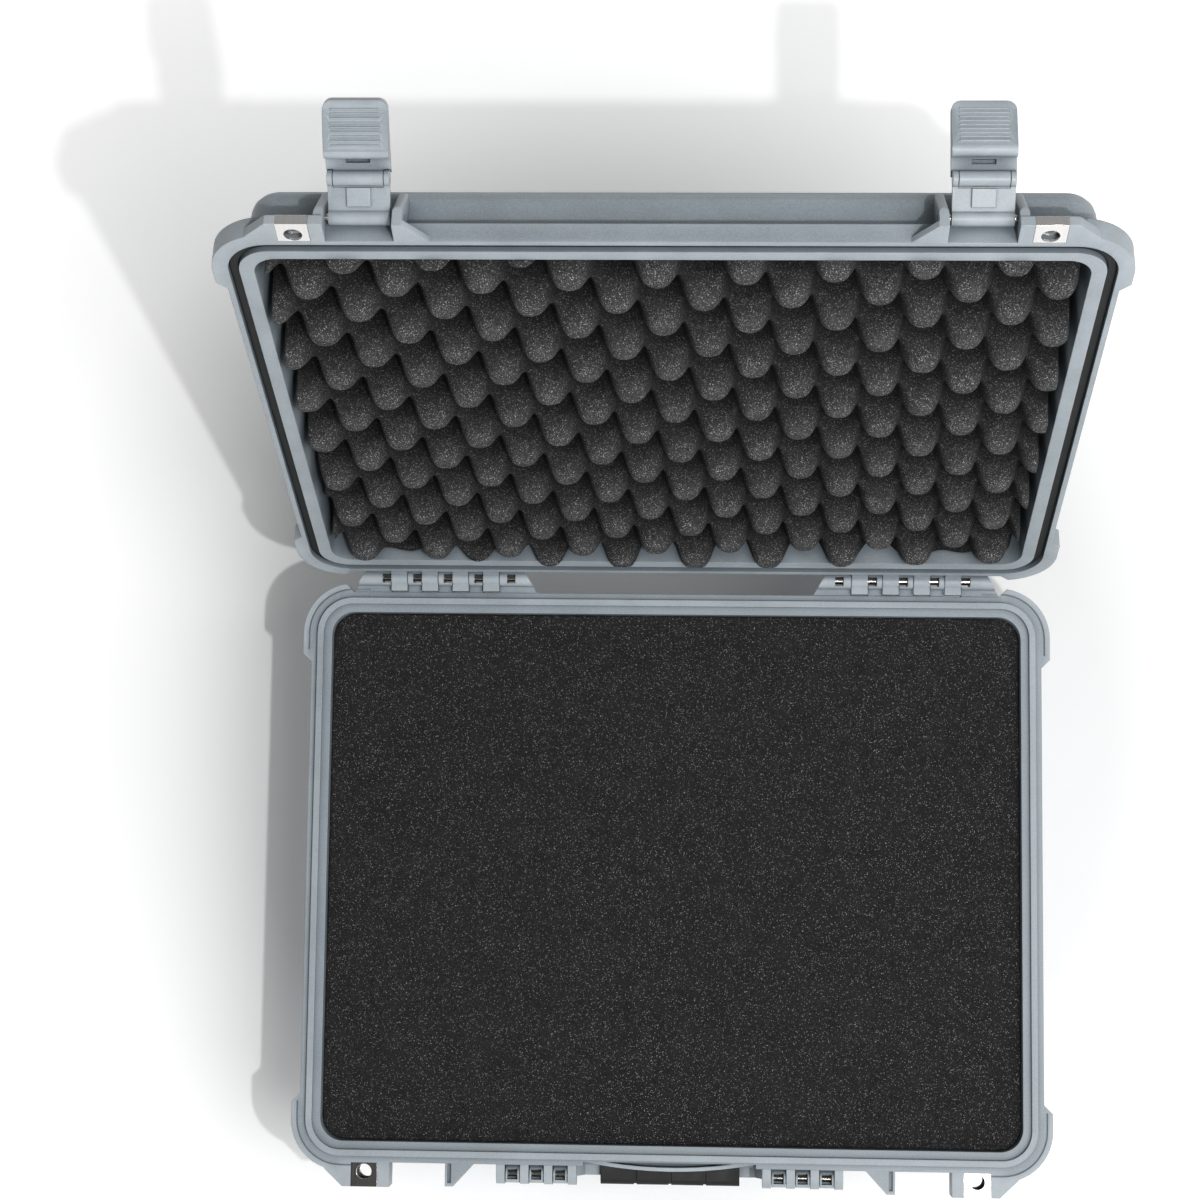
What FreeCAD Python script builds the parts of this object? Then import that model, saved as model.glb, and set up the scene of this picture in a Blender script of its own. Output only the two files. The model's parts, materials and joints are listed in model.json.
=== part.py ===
import FreeCAD, Part
import math
import os
import re

import Sketcher

# Driving dimensions in millimetres and degrees: name, value, meaning
SIZES = (
    # base tub
    ("base_height", 160, "ground to the rim plane"),
    ("opening_width", 484.7, "tub opening at the rim, left to right"),
    ("opening_depth", 368.5, "tub opening at the rim, front to back"),
    ("opening_radius", 16, "corner radius of the tub opening"),
    ("floor_width", 473, "inside of the tub at its floor, left to right"),
    ("floor_depth", 360, "inside of the tub at its floor, front to back"),
    ("floor_radius", 20, "corner radius inside at the floor"),
    ("base_floor", 7, "thickness of the tub's floor"),
    ("base_wall", 4.7, "thickness of the tub's walls"),
    ("base_edge_round", 10, "rounding of the tub's lower edge"),
    ("overrun", 5, "how far cutting shapes run past the surface they cut"),
    ("root", 4, "how far added shapes sink into the wall that carries them"),
    # rim band and sealing tongue
    ("rim_width", 513.4, "rim, left to right"),
    ("rim_depth", 397, "rim, front to back"),
    ("rim_radius", 29, "corner radius of the rim"),
    ("band_height", 19.5, "height of the base's rim band"),
    ("tongue_inset", 4.3, "rim edge to the tongue"),
    ("tongue_width", 4.4, "width of the sealing tongue"),
    ("tongue_height", 3, "height of the sealing tongue"),
    ("rim_gap", 0.3, "gap between the two rims when closed"),
    # corner lobes and bumpers
    ("lobe_reach", 6, "how far the corner lobes stand out of the rim"),
    ("lobe_radius", 35, "corner radius of the lobes"),
    ("lobe_start_x", 227.4, "where the lobes start along front and back"),
    ("lobe_front_y", 152, "where the front lobes start along the sides"),
    ("lobe_back_y", 148.5, "where the back lobes start along the sides"),
    ("line_inset", 3.6, "lobe edge to the engraved line"),
    ("line_width", 0.9, "width of the engraved line"),
    ("line_depth", 0.7, "depth of the engraved line"),
    ("bumper_reach", 5, "how far the corner bumpers stand out of the wall"),
    ("bumper_low", 14, "lower end of the corner bumpers above the ground"),
    # wall ribs of the base and stacking ribs
    ("wall_rib", 9, "width of the wall ribs"),
    ("wall_rib_reach", 7, "how far the wall ribs stand out under the band"),
    ("wall_rib_low", 24, "lower end of the wall ribs above the ground"),
    ("side_rib_pitch", 96, "spacing of the ribs on the side walls"),
    ("stack_x", 150, "stacking ribs from the middle"),
    ("stack_width", 26, "width of the stacking ribs"),
    ("stack_length", 270, "length of the stacking ribs"),
    ("stack_height", 4.5, "height of the stacking ribs"),
    ("stack_slope", 9, "run of the stacking ribs' sloped ends"),
    ("stack_play", 1.5, "room around a stacking rib in its channel"),
    # padlock bosses and plates
    ("padlock_x", 211, "padlock holes from the middle"),
    ("padlock_setback", 6.3, "rim edge to the padlock holes"),
    ("padlock_radius", 5.2, "radius of the padlock holes"),
    ("boss_reach", 16.7, "how far the padlock bosses stand out of the rim"),
    ("boss_outer_x", 226.2, "outer front corner of the padlock bosses"),
    ("boss_foot_x", 239, "outer foot of the padlock bosses"),
    ("boss_foot_reach", 4.6, "rim edge to the outer foot of the bosses"),
    ("lid_boss_height", 6.2, "height of the lid's padlock bosses"),
    ("plate_width", 18.3, "width of the steel plates"),
    ("plate_sheet", 1.5, "thickness of the steel plates"),
    ("plate_margin", 0.4, "rim edge to the back of the steel plates"),
    ("plate_play", 0.1, "room around the steel plates in their bosses"),
    # latch bays
    ("bay_inner_x", 154.8, "inner side of the latch bays"),
    ("bay_outer_x", 193.6, "outer side of the latch bays"),
    ("gusset_tip", 5.8, "width of the gussets' tips"),
    ("gusset_reach", 15.5, "how far gussets and ribs stand out of the rim"),
    ("gusset_run", 20, "width of the gussets at the rim"),
    ("gusset_slot", 2.4, "width of the slot in the base's gussets"),
    ("gusset_slot_depth", 2, "depth of that slot"),
    ("lid_gusset_height", 4, "thickness of the lid's gussets"),
    ("rib_width", 5.6, "width of the lid's latch ribs"),
    ("rib_front_height", 13, "height of the latch ribs' front face"),
    ("rib_top_height", 36, "height of the latch ribs"),
    ("rib_top_setback", 3, "rim edge back to the latch ribs' upper end"),
    ("rib_round", 2.4, "rounding of the latch ribs' front edges"),
    # hinge
    ("hinge_setback", 10.34, "rim edge to the hinge axis"),
    ("hinge_rise", 0.88, "hinge axis above the base's rim plane"),
    ("lid_open_angle", 110.9, "how far the lid stands open"),
    ("hinge_x", 162.3, "middle of each hinge from the middle"),
    ("hinge_length", 110.8, "length of each hinge barrel"),
    ("hinge_root", 130, "length of each hinge plate at the rim"),
    ("hinge_plate", 9, "thickness of the hinge plates"),
    ("plate_drop", 0.4, "hinge plates' top below the rim plane"),
    ("base_barrel", 5.8, "radius of the base's hinge barrels"),
    ("lid_barrel", 5.2, "radius of the lid's hinge knuckles"),
    ("hinge_pin", 2.4, "radius of the hinge pins"),
    ("pin_play", 0.05, "radial play of the pins"),
    ("knuckle_pitch", 21.7, "spacing of the lid's hinge knuckles"),
    ("knuckle_width", 11.4, "width of the lid's hinge knuckles"),
    ("knuckle_gap", 0.4, "gap beside the hinge knuckles"),
    ("window_width", 5.8, "width of the openings that show the hinge pin"),
    ("end_window", 17.2, "innermost knuckle to the far side of the last opening"),
    ("window_front", 4, "hinge axis to the front of those openings"),
    ("tail_length", 9.6, "length of the knuckles' stop tails"),
    ("tail_height", 5.2, "thickness of the knuckles' stop tails"),
    # lid
    ("lid_opening_width", 477, "lid opening at the rim, left to right"),
    ("lid_opening_depth", 363, "lid opening at the rim, front to back"),
    ("lid_opening_radius", 14, "corner radius of the lid opening"),
    ("lid_taper", 3, "how far the lid's sides draw in towards the top"),
    ("lid_depth", 44, "inner depth of the lid"),
    ("lid_skin", 4.5, "thickness of the lid's top"),
    ("lid_wall", 7.5, "thickness of the lid's walls"),
    ("lid_edge_round", 10, "rounding of the lid's upper edge"),
    ("lid_flange", 12.8, "height of the lid's rim flange"),
    ("groove_inset", 3.4, "rim edge to the seal groove"),
    ("groove_width", 6.2, "width of the seal groove"),
    ("groove_depth", 6, "depth of the seal groove"),
    ("seal_height", 3, "height of the sealing ring"),
    ("seal_play", 0.2, "room beside the sealing ring"),
    ("seal_round", 1, "rounding of the sealing ring"),
    ("nub_x", 73, "spacing of the small gussets on the lid's front"),
    ("nub_width", 4.5, "width of the small gussets"),
    ("nub_height", 8, "height of the small gussets"),
    # latches
    ("latch_pivot_reach", 5.5, "rim edge to the latch pivot"),
    ("latch_pivot_height", 12.6, "latch pivot above the lid's rim plane"),
    ("link_barrel", 4.5, "radius of the links' pivot barrels"),
    ("link_width", 35, "width of the links"),
    ("link_length", 22, "pivot to lever pin"),
    ("link_plate", 3.6, "thickness of the links' plates"),
    ("link_open_angle", 136, "how far the links stand open"),
    ("latch_pin", 2, "radius of the latch pivot pins"),
    ("ear_width", 3, "width of the links' ears beside the levers"),
    ("link_pad_width", 13.4, "width of the raised pads on the links"),
    ("link_pad_length", 10.4, "length of the raised pads on the links"),
    ("link_pad_rise", 1.2, "height of the raised pads on the links"),
    ("latch_play", 0.4, "gap between link and lever"),
    ("lever_pin", 1.7, "radius of the lever pins"),
    ("lever_barrel", 4.6, "radius of the lever barrels"),
    ("lever_width", 36.4, "width of the levers"),
    ("lever_length", 44.5, "lever pin to the tab's end"),
    ("lever_recess", 1, "lever pin to the floor of the hook's recess"),
    ("hook_low", 12, "lever pin down to the hook's upper face"),
    ("nose_round", 4.2, "radius of the hook's round nose"),
    ("nose_low", 17.5, "lever pin down to the thickest point of the tab"),
    ("nose_reach", 6, "lever pin out to the thickest point of the tab"),
    ("tab_straight", 22, "lever pin down to the flare of the tab"),
    ("tab_flare", 5.8, "lever pin out to the flared end of the tab"),
    ("tab_edge", 4.8, "thickness of the tab's end"),
    ("tab_corner", 5.5, "rounding of the tab's corners"),
    ("lever_left_angle", 124.6, "how far the left lever stands open"),
    ("lever_right_angle", 157.1, "how far the right lever stands open"),
    ("slot_width", 13.5, "width of the slot in the hook's recess"),
    ("slot_height", 2.8, "height of the slot in the hook's recess"),
    ("slot_depth", 2.4, "depth of the slot in the hook's recess"),
    ("slot_low", 11.4, "lever pin down to the slot's lower edge"),
    ("grip_line", 0.5, "radius of the tab's grip lines"),
    ("grip_line_pitch", 2.5, "spacing of the tab's grip lines"),
    ("grip_line_start", 3, "thickest point of the tab to the first grip line"),
    ("grip_line_margin", 4.5, "side of the tab to the grip lines' ends"),
    # handle
    ("handle_setback", 6.5, "rim edge to the handle's axis"),
    ("handle_drop", 7.5, "handle's axis below the rim plane"),
    ("comb_radius", 7.2, "radius of the base's handle knuckles"),
    ("comb_x", 67, "innermost handle knuckle from the middle"),
    ("comb_pitch", 16.5, "spacing of the base's handle knuckles"),
    ("comb_width", 6, "width of the base's handle knuckles"),
    ("comb_gap", 0.5, "gap beside the handle's own knuckles"),
    ("eye_radius", 6.4, "radius of the handle's own knuckles"),
    ("eye_wall", 1.3, "walls beside the windows in the handle's own knuckles"),
    ("eye_window", 3.6, "half the depth of those windows"),
    ("handle_pin", 2.2, "radius of the handle pins"),
    ("handle_length", 46, "handle's axis to the middle of its bar"),
    ("handle_thick", 10, "thickness of the handle's arms"),
    ("arm_top", 9, "handle's axis down to the top of the arms"),
    ("arm_foot_x", 92, "outer lower corner of the arms"),
    ("arm_inner_x", 60, "inner lower corner of the arms"),
    ("bar_height", 11, "height of the handle's bar"),
    ("grip_length", 98, "length of the rubber grip"),
    ("grip_depth", 19, "grip, front to back"),
    ("grip_height", 20, "height of the grip"),
    ("grip_round", 4, "rounding of the grip's edges"),
    ("grip_offset", 1.5, "how far the grip sits forward of the bar"),
    ("grip_play", 0.1, "room between bar and grip"),
    ("grip_groove", 2, "width of the grip's grooves"),
    ("grip_groove_depth", 1, "depth of the grip's grooves"),
    # bowed lip at the middle of the front rim
    ("lip_half", 59.5, "half the length of the bowed lip"),
    ("lip_recess", 2.9, "depth of the rim's recess behind the lip"),
    ("lip_bulge", 2.8, "how far the lip stands out of the rim"),
    ("lip_sheet", 2.6, "thickness of the lip"),
    ("lip_height", 10, "height of the lip"),
    # valve
    ("valve_drop", 36, "valve axis below the rim plane"),
    ("valve_radius", 11, "radius of the valve's cap"),
    ("valve_cap", 3, "thickness of the valve's cap"),
    ("valve_stem", 6, "radius of the valve's stem"),
    ("valve_boss", 13, "radius of the valve's boss"),
    ("valve_boss_reach", 3, "how far the valve's boss stands out of the wall"),
    ("valve_pad_reach", 2.4, "how far the inner pad stands in from the opening"),
    ("valve_gasket", 1.2, "thickness of the valve's gasket"),
    ("valve_gasket_lap", 1, "cap edge to the gasket's edge"),
    ("valve_nut", 4, "thickness of the valve's nut"),
    ("valve_nut_radius", 10, "corner radius of the hexagonal nut"),
    ("valve_hole", 1.2, "radius of the valve's vent holes"),
    ("valve_hole_ring", 7, "vent holes from the valve's axis"),
    # foam
    ("foam_gap", 0.4, "room around the foam"),
    ("foam_drop", 6, "base foam below the rim plane"),
    ("foam_pad", 12, "thickness of the floor pad"),
    ("foam_lower", 66, "thickness of the lower layer"),
    ("foam_nut_room", 2, "room around the valve's nut in the foam"),
    ("peak_pitch", 50.6, "spacing of the lid foam's peaks in a row"),
    ("peak_row", 23.6, "spacing of the rows of peaks"),
    ("peak_height", 28, "height of the lid foam's peaks"),
    ("peak_proud", 5.4, "how far the peaks stand out of the lid's rim plane"),
    ("peak_foot", 22, "radius of a peak's foot"),
    ("peak_tip", 11.5, "radius of a peak's round tip"),
    ("peak_start_x", 18.7, "place of one peak, left to right"),
    ("peak_start_y", 184, "place of that peak, front to back"),
)

# Counts
HINGE_KNUCKLES = 4
COMB_KNUCKLES = 4
GRIP_LINES = 9
GRIP_GROOVES = 3
VENT_HOLES = 6
HEXAGON = 6
EDGE_STEPS = 4

# Places that many pieces share
FRONT = "-rim_depth / 2"
HINGE_Y = "(rim_depth / 2 + hinge_setback)"
HINGE_Z = "(base_height + hinge_rise)"
HANDLE_Y = "(-rim_depth / 2 - handle_setback)"
HANDLE_Z = "(base_height - handle_drop)"
PADLOCK_Y = "(-rim_depth / 2 - padlock_setback)"
BOSS_Y = "(-rim_depth / 2 - boss_reach)"
BAND_LOW = "(base_height - band_height)"
LATCH_X = "((bay_inner_x + bay_outer_x) / 2)"
LATCH_Y = "(-rim_depth / 2 - latch_pivot_reach)"

doc = FreeCAD.newDocument("ProtectiveCase")
aliases = {alias for alias, _, _ in SIZES}
nodes = []


def make_sheet():
    made = doc.addObject("Spreadsheet::Sheet", "Sizes")
    for row, (alias, number, meaning) in enumerate(SIZES, start=1):
        made.set(f"A{row}", alias)
        made.set(f"B{row}", str(number))
        made.set(f"C{row}", meaning)
        made.setAlias(f"B{row}", alias)
    doc.recompute()
    return made


sheet = make_sheet()


def qualify(match):
    word = match.group(0)
    return f"Sizes.{word}" if word in aliases else word


def ex(text):
    return re.sub(r"[a-z_]+", qualify, text)


def value(text):
    found = sheet.evalExpression(ex(text))
    return float(getattr(found, "Value", found))


# Closed-lid places, measured from the rim's middle, seen from the hinge axis
def lid_y(text):
    return f"({text}) - {HINGE_Y}"


def lid_z(text):
    return f"({text}) + rim_gap - hinge_rise"


# Building blocks
def box(name, xs, ys, zs):
    made = doc.addObject("Part::Box", name)
    for side, axis, (low, high) in zip(("Length", "Width", "Height"), "xyz", (xs, ys, zs)):
        made.setExpression(side, ex(f"({high}) - ({low})"))
        made.setExpression(f"Placement.Base.{axis}", ex(low))
    return made


def rod(name, axis, radius, span, across):
    made = doc.addObject("Part::Cylinder", name)
    turns = {"x": ((0, 1, 0), 90), "y": ((1, 0, 0), -90), "z": ((0, 0, 1), 0)}
    direction, angle = turns[axis]
    made.Placement = FreeCAD.Placement(FreeCAD.Vector(), FreeCAD.Rotation(FreeCAD.Vector(*direction), angle))
    low, high = span
    made.setExpression("Radius", ex(radius))
    made.setExpression("Height", ex(f"({high}) - ({low})"))
    places = dict(zip([letter for letter in "xyz" if letter != axis], across))
    places[axis] = low
    for letter, text in places.items():
        made.setExpression(f"Placement.Base.{letter}", ex(text))
    return made


def new_sketch(body, name, role, offset, shift="0"):
    made = body.newObject("Sketcher::SketchObject", name)
    plane = [item for item in body.Origin.OriginFeatures if item.Role == role][0]
    made.AttachmentSupport = [(plane, "")]
    made.MapMode = "FlatFace"
    made.setExpression("AttachmentOffset.Base.z", ex(offset))
    made.setExpression("AttachmentOffset.Base.y", ex(shift))
    return made


def bind(sketch, constraint, text):
    index = sketch.addConstraint(constraint)
    sketch.setExpression(f"Constraints[{index}]", ex(text))


def polygon(sketch, corners):
    points = [FreeCAD.Vector(value(x), value(y), 0) for x, y in corners]
    count = len(points)
    for index in range(count):
        sketch.addGeometry(Part.LineSegment(points[index], points[(index + 1) % count]), False)
    for index in range(count):
        sketch.addConstraint(Sketcher.Constraint("Coincident", index, 2, (index + 1) % count, 1))
    for index, (x, y) in enumerate(corners):
        bind(sketch, Sketcher.Constraint("DistanceX", -1, 1, index, 1, points[index].x), x)
        bind(sketch, Sketcher.Constraint("DistanceY", -1, 1, index, 1, points[index].y), y)


def rounded_rectangle(sketch, half_x, half_y, radius):
    across, along, bend = value(half_x), value(half_y), value(radius)
    first = sketch.GeometryCount
    inner_x, inner_y = across - bend, along - bend
    lines = (
        ((-inner_x, -along), (inner_x, -along)),
        ((across, -inner_y), (across, inner_y)),
        ((inner_x, along), (-inner_x, along)),
        ((-across, inner_y), (-across, -inner_y)),
    )
    centres = ((inner_x, -inner_y), (inner_x, inner_y), (-inner_x, inner_y), (-inner_x, -inner_y))
    quarter = math.radians(90)
    for index, ((start, end), centre) in enumerate(zip(lines, centres)):
        sketch.addGeometry(Part.LineSegment(FreeCAD.Vector(*start, 0), FreeCAD.Vector(*end, 0)), False)
        circle = Part.Circle(FreeCAD.Vector(*centre, 0), FreeCAD.Vector(0, 0, 1), bend)
        sketch.addGeometry(Part.ArcOfCircle(circle, (index - 1) * quarter, index * quarter), False)
    for index in range(4):
        line, arc, following = first + 2 * index, first + 2 * index + 1, first + (2 * index + 2) % 8
        sketch.addConstraint(Sketcher.Constraint("Tangent", line, 2, arc, 1))
        sketch.addConstraint(Sketcher.Constraint("Tangent", arc, 2, following, 1))
        sketch.addConstraint(Sketcher.Constraint(("Horizontal", "Vertical")[index % 2], line))
        if index:
            sketch.addConstraint(Sketcher.Constraint("Equal", first + 1, arc))
    bind(sketch, Sketcher.Constraint("Radius", first + 1, bend), radius)
    bind(sketch, Sketcher.Constraint("DistanceY", -1, 1, first, 1, -along), f"-({half_y})")
    bind(sketch, Sketcher.Constraint("DistanceX", -1, 1, first + 2, 1, across), half_x)
    bind(sketch, Sketcher.Constraint("DistanceY", -1, 1, first + 4, 1, along), half_y)
    bind(sketch, Sketcher.Constraint("DistanceX", -1, 1, first + 6, 1, -across), f"-({half_x})")


def pad(body, sketch, length):
    made = body.newObject("PartDesign::Pad", sketch.Name + "Pad")
    made.Profile = sketch
    made.setExpression("Length", ex(length))
    return made


def loft(body, name, sections):
    made = body.newObject("PartDesign::AdditiveLoft", name)
    made.Profile = sections[0]
    made.Sections = list(sections[1:])
    made.Ruled = True
    return made


def round_edges(body, feature, chosen, radius):
    doc.recompute()
    names = [f"Edge{index}" for index, edge in enumerate(feature.Shape.Edges, start=1) if chosen(edge)]
    made = body.newObject("PartDesign::Fillet", feature.Name + "Round")
    made.Base = (feature, names)
    made.setExpression("Radius", ex(radius))
    return made


def prism(name, role, corners, span):
    low, high = span
    start = f"-({high})" if role == "XZ_Plane" else low
    body = doc.addObject("PartDesign::Body", name)
    sketch = new_sketch(body, name + "Outline", role, start)
    polygon(sketch, corners)
    pad(body, sketch, f"({high}) - ({low})")
    return body


def rounded_block(name, half_x, half_y, radius, span, shift="0"):
    low, high = span
    body = doc.addObject("PartDesign::Body", name)
    sketch = new_sketch(body, name + "Outline", "XY_Plane", low, shift)
    rounded_rectangle(sketch, half_x, half_y, radius)
    pad(body, sketch, f"({high}) - ({low})")
    return body


def rim_ring(name, inset, width, span, shift="0"):
    low, high = span
    body = doc.addObject("PartDesign::Body", name)
    sketch = new_sketch(body, name + "Outline", "XY_Plane", low, shift)
    for edge in (inset, f"{inset} + {width}"):
        rounded_rectangle(sketch, f"rim_width / 2 - ({edge})", f"rim_depth / 2 - ({edge})",
                          f"rim_radius - ({edge})")
    pad(body, sketch, f"({high}) - ({low})")
    return body


def fuse(name, pieces):
    made = doc.addObject("Part::MultiFuse", name)
    made.Shapes = list(pieces)
    return made


def common(name, pieces):
    made = doc.addObject("Part::MultiCommon", name)
    made.Shapes = list(pieces)
    return made


def cut(name, whole, tool):
    made = doc.addObject("Part::Cut", name)
    made.Base = whole
    made.Tool = tool
    return made


def mirror(name, source):
    made = doc.addObject("Part::Mirroring", name)
    made.Source = source
    made.Normal = FreeCAD.Vector(1, 0, 0)
    return made


def both(name, pieces):
    right = fuse(name + "Right", pieces) if len(pieces) > 1 else pieces[0]
    return [right, mirror(name + "Left", right)]


def place(item, x, y, z, angle):
    spot = f"create(<<vector>>; {ex(x)}; {ex(y)}; {ex(z)})"
    turn = f"create(<<rotation>>; create(<<vector>>; -1; 0; 0); {ex(angle)})"
    item.setExpression("Placement", f"create(<<placement>>; {spot}; {turn})")


def place_on_lid(item):
    place(item, "0", HINGE_Y, HINGE_Z, "lid_open_angle")


def node(item, label):
    item.Label = label
    nodes.append(item)
    return item


# Corner lobes and bumpers: a rounded block kept only at its corners
def corner_mask(name, back, span, shift):
    front_start, back_start = (-1, "boss_outer_x", "lobe_front_y"), (1, "lobe_start_x", "lobe_back_y")
    sign, start_x, start_y = back_start if back else front_start
    far = "2 * lobe_reach"
    corners = (
        (start_x, start_y),
        (start_x, "rim_depth / 2"),
        (f"{start_x} + {far}", f"rim_depth / 2 + {far}"),
        (f"rim_width / 2 + {far}", f"rim_depth / 2 + {far}"),
        (f"rim_width / 2 + {far}", f"{start_y} + {far}"),
        ("rim_width / 2", start_y),
    )
    return prism(name, "XY_Plane", [(x, f"{sign} * ({y}) + ({shift})") for x, y in corners], span)


def corner_pieces(name, half_x, half_y, radius, span, shift="0"):
    block = rounded_block(name + "Block", half_x, half_y, radius, span, shift)
    masks = [corner_mask(f"{name}Mask{back}", back, span, shift) for back in (0, 1)]
    return [common(f"{name}Corner{index}", (block, mask)) for index, mask in enumerate(masks)]


def lobes(name, span, shift="0"):
    half_x, half_y = "rim_width / 2 + lobe_reach", "rim_depth / 2 + lobe_reach"
    return corner_pieces(name, half_x, half_y, "lobe_radius", span, shift)


def lobe_lines():
    span = ("base_height - line_depth", "base_height + overrun")
    outer, inner = "lobe_reach - line_inset", "lobe_reach - line_inset - line_width"
    rings = []
    for name, reach in (("LineOuter", outer), ("LineInner", inner)):
        half_x, half_y = f"rim_width / 2 + {reach}", f"rim_depth / 2 + {reach}"
        rings.append(rounded_block(name, half_x, half_y, f"lobe_radius - lobe_reach + {reach}", span))
    ring = cut("LineRing", *rings)
    bend = "lobe_radius - lobe_reach"
    reach = "rim_width / 2 + overrun", "rim_depth / 2 + overrun"
    corners = []
    for name, sign in (("LineFront", -1), ("LineBack", 1)):
        near, far = f"{sign} * (rim_depth / 2 - {bend})", f"{sign} * ({reach[1]})"
        ys = (near, far) if sign > 0 else (far, near)
        mask = box(name, (f"rim_width / 2 - {bend}", reach[0]), ys, span)
        corners.append(common(name + "Corner", (ring, mask)))
    return both("Lines", corners)


# Rounded edge of a tub in flat steps: rise from its flat face and inset, from face to wall
def edge_steps(radius):
    angles = [90 * step / EDGE_STEPS for step in range(EDGE_STEPS + 1)]
    return [(f"{radius} * (1 - cos({angle}))", f"{radius} * (1 - sin({angle}))") for angle in angles]


def base_section(body, name, z, wall):
    rise = f"(({z}) - base_floor) / (base_height - base_floor)"
    sketch = new_sketch(body, name, "XY_Plane", z)
    rounded_rectangle(sketch, f"floor_width / 2 + (opening_width - floor_width) / 2 * {rise} + {wall}",
                      f"floor_depth / 2 + (opening_depth - floor_depth) / 2 * {rise} + {wall}",
                      f"floor_radius + (opening_radius - floor_radius) * {rise} + {wall}")
    return sketch


def base_tub():
    body = doc.addObject("PartDesign::Body", "BaseTub")
    places = [(rise, f"base_wall - {inset}") for rise, inset in edge_steps("base_edge_round")]
    places.append(("base_height", "base_wall"))
    sections = [base_section(body, f"Tub{index}", z, wall) for index, (z, wall) in enumerate(places)]
    loft(body, "TubOutside", sections)
    band = new_sketch(body, "Band", "XY_Plane", BAND_LOW)
    rounded_rectangle(band, "rim_width / 2", "rim_depth / 2", "rim_radius")
    pad(body, band, "band_height")
    return body


def base_layer(name, low, high, wall):
    body = doc.addObject("PartDesign::Body", name)
    ends = (("Low", low), ("High", high))
    loft(body, name + "Loft", [base_section(body, name + part, z, wall) for part, z in ends])
    return body


# Padlock boss, a block in front of the rim with a notch for its steel plate
def boss(name, inner_x, span, y_of):
    front = f"{FRONT} - boss_reach"
    corners = (
        (inner_x, f"{FRONT} + root"),
        (inner_x, front),
        ("boss_outer_x", front),
        ("boss_foot_x", f"{FRONT} - boss_foot_reach"),
        ("boss_foot_x", f"{FRONT} + root"),
    )
    return prism(name, "XY_Plane", [(x, y_of(y)) for x, y in corners], span)


def plate_notch(name, span, y_of):
    half = "(plate_width / 2 + plate_play)"
    ys = (y_of(f"{BOSS_Y} - overrun"), y_of(f"{FRONT} - plate_margin + plate_play"))
    return box(name, (f"padlock_x - {half}", f"padlock_x + {half}"), ys, span)


def gusset(name, span, y_of):
    corners = (
        ("bay_inner_x", f"{FRONT} + root"),
        ("bay_inner_x", f"{FRONT} - gusset_reach"),
        ("bay_inner_x - gusset_tip", f"{FRONT} - gusset_reach"),
        ("bay_inner_x - gusset_run", FRONT),
        ("bay_inner_x - gusset_run", f"{FRONT} + root"),
    )
    return prism(name, "XY_Plane", [(x, y_of(y)) for x, y in corners], span)


def padlock_plate(name, low, high, y_of):
    half = "plate_width / 2"
    xs = (f"padlock_x - {half}", f"padlock_x + {half}")
    front, back = y_of(BOSS_Y), y_of(f"{FRONT} - plate_margin")
    outer = box(name + "Outer", xs, (front, back), (low, high))
    hollow_x = (f"{xs[0]} - overrun", f"{xs[1]} + overrun")
    hollow_y = (f"{front} + plate_sheet", f"{back} + overrun")
    hollow = box(name + "Hollow", hollow_x, hollow_y, (f"{low} + plate_sheet", f"{high} - plate_sheet"))
    span = (f"{low} - overrun", f"{high} + overrun")
    hole = rod(name + "Hole", "z", "padlock_radius", span, ("padlock_x", y_of(PADLOCK_Y)))
    return cut(name, cut(name + "Bent", outer, hollow), hole)


# Base hinge: a sloped plate behind the rim with a barrel, cut for the lid's knuckles
def knuckle_x(index):
    return f"hinge_x + {index - (HINGE_KNUCKLES - 1) / 2} * knuckle_pitch"


def hinge_block():
    top, low = "base_height - plate_drop", "base_height - plate_drop - hinge_plate"
    corners = (
        ("hinge_x - hinge_root / 2", "rim_depth / 2 - root"),
        ("hinge_x + hinge_root / 2", "rim_depth / 2 - root"),
        ("hinge_x + hinge_root / 2", "rim_depth / 2"),
        ("hinge_x + hinge_length / 2", f"{HINGE_Y} + base_barrel"),
        ("hinge_x - hinge_length / 2", f"{HINGE_Y} + base_barrel"),
        ("hinge_x - hinge_root / 2", "rim_depth / 2"),
    )
    plate = prism("HingePlate", "XY_Plane", corners, (low, top))
    span = ("hinge_x - hinge_root / 2", "hinge_x + hinge_root / 2")
    barrel = rod("HingeBarrel", "x", "base_barrel", span, (HINGE_Y, HINGE_Z))
    mask = prism("HingeMask", "XY_Plane", corners, (low, f"{HINGE_Z} + base_barrel + overrun"))
    return [plate, common("HingeEnds", (barrel, mask))]


def hinge_cuts():
    tools = []
    low, high = "base_height - plate_drop - hinge_plate - overrun", f"{HINGE_Z} + base_barrel + overrun"
    for index in range(HINGE_KNUCKLES):
        middle = knuckle_x(index)
        half = "(knuckle_width / 2 + knuckle_gap)"
        xs = (f"{middle} - {half}", f"{middle} + {half}")
        ys = ("rim_depth / 2", f"{HINGE_Y} + base_barrel + overrun")
        tools.append(box(f"KnuckleSlot{index}", xs, ys, (low, high)))
        xs = (f"{middle} + {half}", f"{middle} + {half} + window_width")
        ys = (f"{HINGE_Y} - window_front", f"{HINGE_Y} + hinge_pin")
        tools.append(box(f"PinWindow{index}", xs, ys, (low, high)))
    end = f"{knuckle_x(0)} - end_window"
    tools.append(box("EndWindow", (end, f"{end} + window_width"), ys, (low, high)))
    reach = "(hinge_length / 2 + overrun)"
    span = (f"hinge_x - {reach}", f"hinge_x + {reach}")
    tools.append(rod("HingePinBore", "x", "hinge_pin + pin_play", span, (HINGE_Y, HINGE_Z)))
    return tools


# Base handle knuckles, a comb of eyes in front of the rim
def comb_middle(index):
    return f"comb_x + {index} * comb_pitch"


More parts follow.
